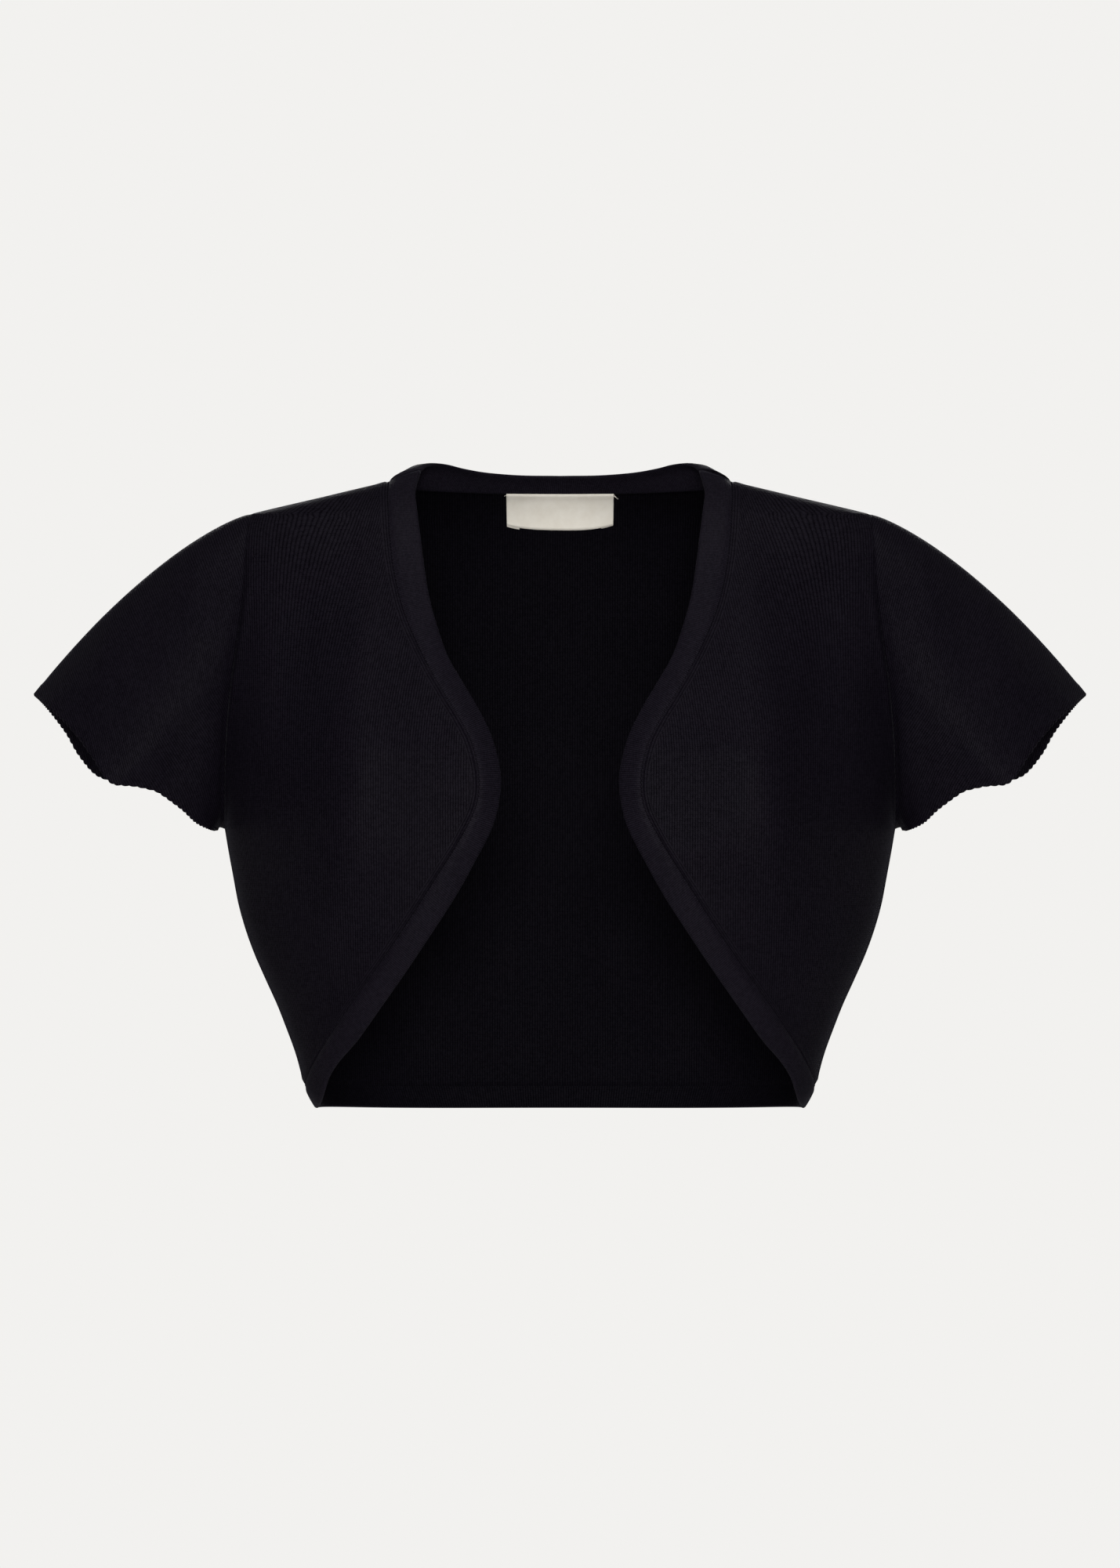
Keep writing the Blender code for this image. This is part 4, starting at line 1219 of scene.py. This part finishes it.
def yarn_material(
    name, wale, course, relief, seam_wales=False, dark=YARN_DARK, light=YARN_LIGHT, gloss=0.022
):
    """A knit in a yarn: its pitches in millimetres, the strength of its bump and its colours. The
    shine is the grain times one minus the share by which the cloth turns away."""
    material, tree, shader = new_material(name)
    number = partial(number_node, tree)
    knit = place_knit(tree, "knit", wale, course)[0]
    height, tone = knit["Height"], knit["Tone_with_painted_rib_shade"]
    if seam_wales:
        beside, place = place_knit(tree, "beside", SEAM_WALES["wale"], course)
        away = add_node(tree, "SeparateXYZ", {0: place})["X"]
        near = fade_node(tree, away, SEAM_WALES["full"], SEAM_WALES["none"])
        height, tone = (
            add_node(tree, "Mix", {"Factor": near, "A": knit[part], "B": beside[part]})["Result"]
            for part in ("Height", "Tone_with_painted_rib_shade")
        )
    grain = number("MULTIPLY_ADD", tone, GRAIN, 0.5 - GRAIN * MEAN_TONE)
    grain = number("MAXIMUM", grain, LEAST_TONE)
    facing = number("SUBTRACT", 1.0, add_node(tree, "LayerWeight", {})["Facing"])
    inputs = {
        "Base Color": colour_node(tree, grain, dark, light, clamp_factor=False),
        "Specular IOR Level": number("MULTIPLY", number("MULTIPLY", grain, facing), 2 * gloss),
        "Normal": bump_node(tree, height, relief, BUMP_DEPTH),
    }
    set_inputs(tree, shader, inputs | YARN_SHEEN)
    return material


KNIT_BODY = yarn_material("knit_body", 1.5, 1.15, 0.3, seam_wales=True)
KNIT_SLEEVE = yarn_material("knit_sleeve", 1.45, 1.15, 0.3)
# the band's yarn, with the painted light of its brighter colour
KNIT_BAND_PAINTED_LIGHT = yarn_material("knit_band_painted_light", 1.15, 0.9, 0.12, light=BAND_PAINTED_LIGHT)
# the inside yarn: painted shade, darker than the body yarn and with less shine
KNIT_INSIDE_PAINTED_SHADE = yarn_material("knit_inside_painted_shade", 1.5, 1.15, 0.4, gloss=0.008, **INSIDE_PAINTED_SHADE)
SEWING_YARN = yarn_material("sewing_yarn", 0.7, 0.7, 0.4, **SEWING)

# %% [markdown]
# ## Fronts and back as cloth
#
# Each panel takes its grid, its relief and its shared normals, and gets a wall 1.3 mm thick.

# %% Make the fronts and the back
# Each panel's inner faces take the inside yarn, which is painted shade.
for name in ("front_left", "front_right", "back"):
    panel = panels[name]
    middle = panel.grid + panel.normals * panel.relief[..., None]
    half_wall = 0.5 * PANEL_THICKNESS * panel.normals
    parts = wall_parts(middle + half_wall, middle - half_wall, panel.knit, panel.beside)
    one_side = (panel.grid.shape[0] - 1) * (panel.grid.shape[1] - 1)
    painted_shade_inner_faces = slice(one_side, 2 * one_side)
    panel.piece = make_piece(name + "_cloth", parts, KNIT_BODY, KNIT_INSIDE_PAINTED_SHADE, painted_shade_inner_faces)

# %% [markdown]
# ## Sleeves with a picot hem
#
# The sleeve hem is doubled along a row of eyelets, which makes an edge of small even scallops.
# They are too fine for the sleeve's grid, so it is resampled round the arm, six points to a
# scallop, and the last few rings are moved out by the sine's size. Under the fold the wall is
# thicker.

# %% Make the sleeves
SCALLOPS = 128
POINTS_A_SCALLOP = 6
SCALLOP_REACH = 0.65
SCALLOP_MIDDLE = 0.55
SCALLOP_FADE = 1.6
EYELET = {"deep": 0.25, "away": 2.2, "reach": 1.2}
SECOND_LAYER = {"thick": 0.6, "full": 6.5, "end": 9}
LIP = 0.75
ROUND_THE_ARM = 444


def round_again(values, count):
    """A closed grid resampled round its columns, as a round curve through them."""
    rows, columns = values.shape[:2]
    flat = values.reshape(rows, columns, -1).transpose(1, 0, 2).reshape(columns, -1)
    padded = np.concatenate([flat[-2:], flat, flat[:3]])
    at = 2 + np.arange(count) * columns / count
    return through(padded, at).reshape(count, rows, -1).transpose(1, 0, 2)


# Inner faces beyond the doubled hem take the inside yarn, which is painted shade.
for name in ("sleeve_left", "sleeve_right"):
    panel = panels[name]
    around = SCALLOPS * POINTS_A_SCALLOP
    grid = round_again(panel.grid, around)
    normals = unit(round_again(panel.normals, around))
    relief, hem_away, turned = (
        round_again(values[..., None], around)
        for values in (panel.relief, panel.hem_away, panel.turned)
    )
    outward = unit(grid[-1] - grid[-3])
    lobe = np.abs(np.sin(math.pi * np.arange(around) / POINTS_A_SCALLOP))[:, None]
    picot = SCALLOP_REACH * (lobe - SCALLOP_MIDDLE) * outward
    grid = grid + picot * bell(hem_away, 0, SCALLOP_FADE)
    eyelets = EYELET["deep"] * (1 - lobe) * bell(hem_away, EYELET["away"], EYELET["reach"])
    middle = grid + normals * (relief - eyelets)
    doubled = 1 - step_up(hem_away, SECOND_LAYER["full"], SECOND_LAYER["end"])
    half_wall = 0.5 * (PANEL_THICKNESS + SECOND_LAYER["thick"] * doubled) * normals
    turned = np.append(turned, turned[:, :1], axis=1)[..., 0]
    round_arm = np.linspace(0, ROUND_THE_ARM, around + 1)
    knit = np.stack(np.broadcast_arrays(turned, round_arm), axis=-1)
    lip = middle[-1] + LIP * outward
    parts = wall_parts(middle + half_wall, middle - half_wall, knit, closed=True, lip=lip)
    one_side = (grid.shape[0] - 1) * around
    deep_shade_face_numbers = np.flatnonzero(0.5 * (hem_away[1:] + hem_away[:-1]) > SECOND_LAYER["end"])
    deep_painted_shade_faces = one_side + deep_shade_face_numbers
    panel.piece = make_piece(name + "_cloth", parts, KNIT_SLEEVE, KNIT_INSIDE_PAINTED_SHADE, deep_painted_shade_faces)

# %% [markdown]
# ## The band as cloth
#
# The band's section is a strip with a round fold: full in the middle, thin where it is linked,
# and half an ellipse at the free edge. Carried along the seam it makes the whole band. At its
# seam it reaches a little way into the panel's own wall, where a real linked band is caught
# between loops.

# %% Make the bands
STRIP_POINTS = 15
FOLD_TURNS = np.radians([12, 26, 41, 57, 73, 90.0])[None]
FOLD_DEPTH = 1.25
TUCK = 1.0
LINKED_SHARE = 0.42
PUFF = (-0.05, 0.26)
FACING_BLEND = 0.35


def band_rings(band):
    """Rings round the band. share runs from the seam to the fold, then round the fold as a sine,
    and back inside. The half thickness grows to its full size and falls as a cosine."""
    half = 0.5 * BAND_THICKNESS
    across = band.free - band.seam
    width = np.linalg.norm(across, axis=1)[:, None]
    flat = np.linspace(0, 1, STRIP_POINTS)[None]
    tuck = -TUCK / width
    fold = 1 - FOLD_DEPTH * half / width
    strip = tuck + (fold - tuck) * flat
    shares = np.concatenate([strip, fold + (1 - fold) * np.sin(FOLD_TURNS)], axis=1)
    puff = LINKED_SHARE + (1 - LINKED_SHARE) * step_up(strip, *PUFF)
    round_fold = np.broadcast_to(np.cos(FOLD_TURNS), (len(width), FOLD_TURNS.size))
    sides = np.concatenate([puff, round_fold], axis=1)
    shares = np.concatenate([shares, shares[:, -2::-1]], axis=1)
    sides = np.concatenate([sides, -sides[:, -2::-1]], axis=1)[..., None]
    blend = step_up(shares, 0, FACING_BLEND)[..., None]
    facing = unit(band.seam_facing[:, None] * (1 - blend) + band.facing[:, None] * blend)
    share = shares[..., None]
    arch = 4 * share * (1 - share) * band.arch[:, None] * band.facing[:, None]
    sink = -SEAM_SINK * bell(shares * width, 0, SEAM_REACH)[..., None] * facing
    middle = band.seam[:, None] + share * across[:, None] + arch + sink
    return middle + sides * half * facing


def band_knit(band, rings):
    """Wales across the band: the distance along it first, the distance round it second."""
    along = lengths_along(0.5 * (band.seam + band.free))
    around = running_length(np.concatenate([rings, rings[:, :1]], axis=1))
    return np.stack(np.broadcast_arrays(along[:, None], around), axis=-1)


# The bands take the band yarn, whose brighter colour is painted light; the hem band's inner half
# takes the inside yarn, which is painted shade.
for name, band in bands.items():
    rings = band_rings(band)
    parts = tube_parts(rings, band_knit(band, rings))
    painted_shade_inner_faces = None
    if name == "hem_band":
        around = rings.shape[1]
        number = np.arange((len(rings) - 1) * around) % around
        painted_shade_inner_faces = np.flatnonzero(number > around // 2 + 2)
    band.piece = make_piece(name + "_cloth", parts, KNIT_BAND_PAINTED_LIGHT, KNIT_INSIDE_PAINTED_SHADE, painted_shade_inner_faces)

# %% [markdown]
# ## Sewing
#
# Two kinds of sewing show. Outside, the linking leaves a row of small slanted stitches in the
# band's groove, and three fashioning marks beside each armhole. Inside, every seam has its
# turnings, a soft cord of cloth along the armhole, the side and the shoulder. A stitch is
# repeated hundreds of times, so it has only two dozen points.

# %% Stitches and turnings
STITCH_RINGS = ((-0.5, 0.35), (-0.28, 1), (0.28, 1), (0.5, 0.35))
STITCH_POINTS = 6
LINK = {"pitch": 2.35, "slant": 0.45, "length": 2.0, "thick": 0.62}
LINK_LIFT = 0.5 * PANEL_THICKNESS - SEAM_SINK + 0.05
MARK = {"lift": 0.85, "length": 4.2, "thick": 0.75}
FASHIONING_MARKS = table("x z", (178.0, -33), (178.6, -44), (179.5, -55))
CORD = {"half_width": 1.7, "half_depth": 0.75, "points": 10, "round": 9}
CORD_SINK = SEAM_SINK + 0.5 * PANEL_THICKNESS + 0.25


def whole_turn(count):
    """Angles evenly round a circle, as a row for broadcasting against rings."""
    return np.linspace(0, 2 * math.pi, count, endpoint=False)[None, :, None]


def stitches(centres, ways, facings, length, thick):
    """Small slanted capsules: at each centre four rings of six points, along its way."""
    ways = unit(ways)
    aside = unit(np.cross(facings, ways))
    along, size = np.array(STITCH_RINGS).T[:, None, :, None, None]
    turn = whole_turn(STITCH_POINTS)[None]
    bulge = np.cos(turn) * facings[:, None, None] + 1.15 * np.sin(turn) * aside[:, None, None]
    middles = centres[:, None, None] + along * length * ways[:, None, None]
    rings = middles + size * 0.5 * thick * bulge
    count = len(centres)
    point = np.arange(rings.size // 3).reshape(count, len(STITCH_RINGS), STITCH_POINTS)
    point = np.concatenate([point, point[:, :, :1]], axis=2)
    quads = (point[:, :-1, :-1], point[:, 1:, :-1], point[:, 1:, 1:], point[:, :-1, 1:])
    faces = [np.stack(quads, axis=-1).reshape(-1, 4)]
    for ring in (0, -1):
        faces += [point[:, ring, :4], point[:, ring, [3, 4, 5, 0]]]
    faces = np.concatenate(faces)
    place = rings.reshape(-1, 3)
    flat = np.zeros(len(faces), bool)
    return place, faces, corner_maps(place[:, [0, 2]], faces.reshape(-1), flat)


def seam_stitches(line, facing):
    """Stitches at an even pitch along a seam, each turned by a slant out of the seam's own way."""
    count = int(lengths_along(line)[-1] / LINK["pitch"])
    shares = (np.arange(count) + 0.5) / count
    facings = unit(spread(line, shares, facing))
    ahead, behind = (spread(line, np.clip(shares + step, 0, 1)) for step in (0.001, -0.001))
    ways = unit(ahead - behind) * math.cos(LINK["slant"])
    ways = ways + np.cross(facings, unit(ahead - behind)) * math.sin(LINK["slant"])
    centres = spread(line, shares) + LINK_LIFT * facings
    return stitches(centres, ways, facings, LINK["length"], LINK["thick"])


link_parts = [seam_stitches(band.seam, band.seam_facing) for band in bands.values()]
for side in (1, -1):
    x, z = FASHIONING_MARKS.values()
    spots, ahead, above = (
        on_body(x - aside, z + up, "front", side) for aside, up in ((0, 0), (1, 0), (0, 1))
    )
    facing = unit(np.cross(above - spots, ahead - spots))
    facing = facing * -np.sign(facing[:, 1:2])
    way = unit(0.5 * (ahead - spots) + (above - spots))
    spots, facing, way = (values * np.array([side, 1, 1]) for values in (spots, facing, way))
    spots = spots + MARK["lift"] * facing
    link_parts.append(stitches(spots, way, facing, MARK["length"], MARK["thick"]))
linking = make_piece("linking_stitches", joined(link_parts), SEWING_YARN)


def turning(line, facing, closed=False):
    """A flat cord of turnings inside a seam: an ellipse round each point of the line."""
    if closed:
        line = np.concatenate([line, line[:1]])
        facing = np.concatenate([facing, facing[:1]])
    way = unit(np.gradient(line, axis=0))
    aside = unit(np.cross(facing, way))
    turn = whole_turn(CORD["points"])
    rings = (line - CORD_SINK * facing)[:, None]
    rings = rings + CORD["half_width"] * np.cos(turn) * aside[:, None]
    rings = rings + CORD["half_depth"] * np.sin(turn) * facing[:, None]
    round_cord = np.linspace(0, CORD["round"], CORD["points"] + 1)
    knit = np.stack(np.broadcast_arrays(lengths_along(line)[:, None], round_cord), axis=-1)
    return tube_parts(rings, knit)


turning_parts = []
for name in ("left", "right"):
    sleeve = panels["sleeve_" + name]
    front = panels["front_" + name]
    side = slice(ARMHOLE_ROWS, None)
    turning_parts.append(turning(sleeve.grid[0], sleeve.normals[0], closed=True))
    turning_parts.append(turning(front.grid[side, 0], front.normals[side, 0]))
    turning_parts.append(turning(front.grid[0], front.normals[0]))
turnings = make_piece("seam_turnings", joined(turning_parts), SEWING_YARN)

# %% [markdown]
# ## The woven label
#
# The label is a short length of cream tape, its ends folded under and its top edge caught in the
# neck seam. It is bare. A flat plate would look like card, so it bows a little away from the
# back, and the folded ends peep out below it at both sides.

# %% Make the label
LABEL_WIDTH = 64.6
LABEL_TOP_Z = 8.2
LABEL_FOOT_Z = -9.6
LABEL_BELLY = 3.2
LABEL_WALL = 0.42
LABEL_ROWS = 15
LABEL_OFF = {"top": 1.75, "foot": 1.3, "wave": 0.35, "wave_length": 9.0, "wave_start": 0.6}
UNDER_NECK_SEAM_Z = 7.9
TAPE_BEHIND = 0.62


def tape(low_x, high_x, drop, behind, columns):
    """A piece of the tape between two widths. Its foot hangs in a flat arch, by 1 - |share|^3.2,
    and it stands off the back by the square of the way down, with a slow wave across."""
    x = np.linspace(high_x, low_x, columns)
    share = np.abs(2 * x / LABEL_WIDTH)
    foot = LABEL_FOOT_Z - LABEL_BELLY * (1 - share**3.2) - drop
    down = np.linspace(0, 1, LABEL_ROWS)[:, None]
    z = LABEL_TOP_Z + down * (foot - LABEL_TOP_Z)
    grid = on_body(np.abs(x), np.minimum(z, UNDER_NECK_SEAM_Z), "back", 1)
    grid[..., 0] = x
    grid[..., 2] = z
    facing = normals_of(grid)
    wave = LABEL_OFF["wave"] * np.sin(x / LABEL_OFF["wave_length"] + LABEL_OFF["wave_start"])
    inward = LABEL_OFF["top"] + LABEL_OFF["foot"] * down**2 + wave * down**1.5 - behind
    grid = grid - inward[..., None] * facing
    half_wall = 0.5 * LABEL_WALL * facing
    knit = np.stack(np.broadcast_arrays(x, z), axis=-1)
    return wall_parts(grid + half_wall, grid - half_wall, knit)


half = 0.5 * LABEL_WIDTH
label_parts = [
    tape(-half, half, 0, 0, 61),
    tape(-half + 0.1, -half + 7.8, 1.3, TAPE_BEHIND, 13),
    tape(half - 7.2, half - 0.1, 0.7, TAPE_BEHIND, 13),
]
print("label", LABEL_WIDTH, "mm wide")

# %% The label's tape
LABEL_CREAM = (0.87, 0.837, 0.757, 1.0)
LABEL_SHADE = (0.70, 0.645, 0.55, 1.0)
WARP_PITCH = 0.00045
WEFT_PITCH = 0.0003


def tape_material(name):
    """Satin tape: fine warp threads as a cosine across it, finer weft along it, and soft marks."""
    material, tree, shader = new_material(name)
    number = partial(number_node, tree)
    place = add_node(tree, "UVMap", {}, uv_map="knit")[0]
    split = add_node(tree, "SeparateXYZ", {0: place})
    warp = number("COSINE", number("MULTIPLY", split["X"], 2 * math.pi / WARP_PITCH))
    weft = number("COSINE", number("MULTIPLY", split["Y"], 2 * math.pi / WEFT_PITCH))
    weave = number("MULTIPLY_ADD", weft, 0.5, warp)
    marks = noise_node(tree, place, 120, 4, 0.6)
    tone = number("MULTIPLY_ADD", weave, 0.12, marks)
    inputs = {
        "Base Color": colour_node(tree, tone, LABEL_SHADE, LABEL_CREAM),
        "Roughness": number("MULTIPLY_ADD", marks, 0.2, 0.45),
        "Normal": bump_node(tree, weave, 0.35, 0.0001),
        "Sheen Weight": 0.1,
    }
    set_inputs(tree, shader, inputs)
    return material


LABEL_TAPE = tape_material("label_satin")
label = make_piece("label_cloth", joined(label_parts), LABEL_TAPE)

# %% Thread ends at the label's corners
THREAD_RADIUS = 0.13
THREAD_STEPS = 9


def thread(start, way, droop, length):
    """A hair-thin tube from a start point, along its way, that falls by the length squared."""
    t = np.linspace(0, 1, THREAD_STEPS)[:, None]
    line = np.array(start) + t * length * unit(np.array(way, float))
    line = line - droop * t**2 * np.array([0, 0, 1.0])
    way = unit(np.gradient(line, axis=0))
    aside = unit(np.cross(way, np.array([0, 1.0, 0.2])))
    up = np.cross(way, aside)
    turn = whole_turn(5)
    rings = THREAD_RADIUS * (np.cos(turn) * aside[:, None] + np.sin(turn) * up[:, None])
    knit = np.stack(np.broadcast_arrays(t * length, np.linspace(0, 1, 6)[None]), axis=-1)
    return tube_parts(line[:, None] + rings, knit)


corner_depth = float(on_body(half, 6.0, "back", 1)[1]) - 2.3
thread_parts = [
    thread((half - 0.3, corner_depth, 5.5), (1.0, -0.25, -0.45), 0.6, 2.9),
    thread((half - 0.2, corner_depth, 6.4), (0.8, -0.3, -0.9), 0.3, 2.2),
    thread((-half + 0.4, corner_depth, 6.0), (-1.0, -0.3, -0.15), 0.3, 1.3),
]
label_threads = make_piece("label_threads", joined(thread_parts), LABEL_TAPE)

# %% [markdown]
# ## Every piece in its place
#
# There are no joints, so every piece rides on the one body. Each cloth replaces its solid, which is
# hidden, and hangs from the root. The table lists for each sheet the flat size and the area of the
# cut that shows.

SHEETS = {
    "back": ((0.49, 0.42), 0.1605),
    "front_left": ((0.213, 0.445), 0.0493),
    "front_right": ((0.213, 0.445), 0.0493),
    "sleeve_left": ((0.461, 0.167), 0.0376),
    "sleeve_right": ((0.461, 0.167), 0.0376),
    "front_band_left": ((0.506, 0.0235), 0.0080),
    "front_band_right": ((0.506, 0.0235), 0.0080),
    "neck_band": ((0.255, 0.0202), 0.0035),
    "hem_band": ((0.383, 0.0147), 0.0051),
}
for name, (flat, area) in SHEETS.items():
    piece = (panels.get(name) or bands.get(name)).piece
    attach(piece, "root")
    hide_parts(name)
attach(label, "root")
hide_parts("label")
small_pieces = ((label_threads, "label_tape"), (linking, "back_knit"), (turnings, "back_knit"))
for piece, finish in small_pieces:
    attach(piece, "root")

# %% [markdown]
# ## Camera, light and floor
#
# The photograph looks level at the garment from about five metres. Black cloth shows its form by
# light that skims it, and two equal lights in front would flatten the folds. So one soft box
# stands in front with a low one under it, one hangs above, two graze the sides from behind, and
# one lights the back. The room is pale for the camera and dim for the cloth, or the black would
# turn grey.

# %% Camera
CAMERA_AWAY = 5.0
CAMERA_HEIGHT = -0.166
SENSOR = 36
PHOTO_HEIGHT = 2001 * 0.000461

camera = put_in_scene("camera", bpy.data.cameras.new("camera"))
camera.location = (0, -CAMERA_AWAY, CAMERA_HEIGHT)
camera.rotation_euler = (math.radians(90), 0, 0)
camera.data.sensor_width = SENSOR
camera.data.lens = SENSOR * CAMERA_AWAY / PHOTO_HEIGHT
camera.data.clip_end = 100
bpy.context.scene.camera = camera
print("lens", round(camera.data.lens, 1))


# %% Lights
def soft_box(name, place, aim_z, size, watts):
    """A rectangular area light at a place, turned to face a height on the garment's axis."""
    lamp = bpy.data.lights.new(name, "AREA")
    lamp.shape = "RECTANGLE"
    lamp.size, lamp.size_y = size
    lamp.energy = watts
    box = put_in_scene(name, lamp)
    box.location = place
    way = Vector((0, 0, aim_z)) - Vector(place)
    box.rotation_euler = way.to_track_quat("-Z", "Y").to_euler()
    box.visible_camera = False


soft_box("box_front", (0, -4.4, 0.6), -0.15, (1.1, 1.1), 110)
soft_box("box_low", (0, -4.2, -0.95), -0.1, (1.6, 0.6), 45)
soft_box("box_above", (0, -0.3, 2.6), -0.1, (2.2, 1.6), 44)
soft_box("box_left", (-2.7, 1.8, 0.4), -0.15, (0.9, 2.2), 14)
soft_box("box_right", (2.7, 1.8, 0.4), -0.15, (0.9, 2.2), 14)
soft_box("box_behind", (0, 3.9, 0.7), -0.15, (1.8, 1.4), 80)

# %% Room
ROOM = (0.888, 0.880, 0.863, 1.0)
ROOM_LIGHT = 0.13

world = bpy.data.worlds.new("room")
bpy.context.scene.world = world
world.use_nodes = True
tree = world.node_tree
seen = tree.nodes["Background"]
set_inputs(tree, seen, {"Color": ROOM})
unseen = add_node(tree, "Background", {"Color": (1, 1, 1, 1), "Strength": ROOM_LIGHT})[0]
camera_ray = add_node(tree, "LightPath", {})["Is Camera Ray"]
mixed = add_node(tree, "MixShader", {0: camera_ray, 1: unseen, 2: seen.outputs[0]})[0]
set_inputs(tree, tree.nodes["World Output"], {"Surface": mixed})
bpy.context.scene.view_settings.view_transform = "Standard"
bpy.context.scene.view_settings.look = "None"

# %% Floor
FLOOR_Z = -1.35
FLOOR_REACH = 4.5
FLOOR_RINGS = 24
FLOOR_POINTS = 96
FLOOR_GLOW = 0.38

turn = whole_turn(FLOOR_POINTS)[0, :, 0]
reaches = np.linspace(0, FLOOR_REACH, FLOOR_RINGS)[:, None]
level = np.full((FLOOR_RINGS, FLOOR_POINTS), FLOOR_Z)
disc = np.stack([reaches * np.cos(turn), reaches * np.sin(turn), level], axis=-1)
point = np.arange(level.size).reshape(level.shape)
point = np.concatenate([point, point[:, :1]], axis=1)
floor_mesh = bpy.data.meshes.new("floor")
floor_mesh.from_pydata(disc.reshape(-1, 3).tolist(), [], grid_faces(point).tolist())
floor = put_in_scene("floor", floor_mesh)
pale, tree, shader = new_material("pale_floor")
camera_ray = add_node(tree, "LightPath", {})["Is Camera Ray"]
place = add_node(tree, "TexCoord", {})["Object"]
reach = add_node(tree, "VectorMath", {0: place}, operation="LENGTH")["Value"]
inputs = {
    "Base Color": (0.80, 0.79, 0.775, 1.0),
    "Roughness": 0.85,
    "Emission Color": ROOM,
    "Emission Strength": number_node(tree, "MULTIPLY", camera_ray, FLOOR_GLOW),
    "Alpha": fade_node(tree, reach, 2.0, 4.4),
}
set_inputs(tree, shader, inputs)
floor_mesh.materials.append(pale)
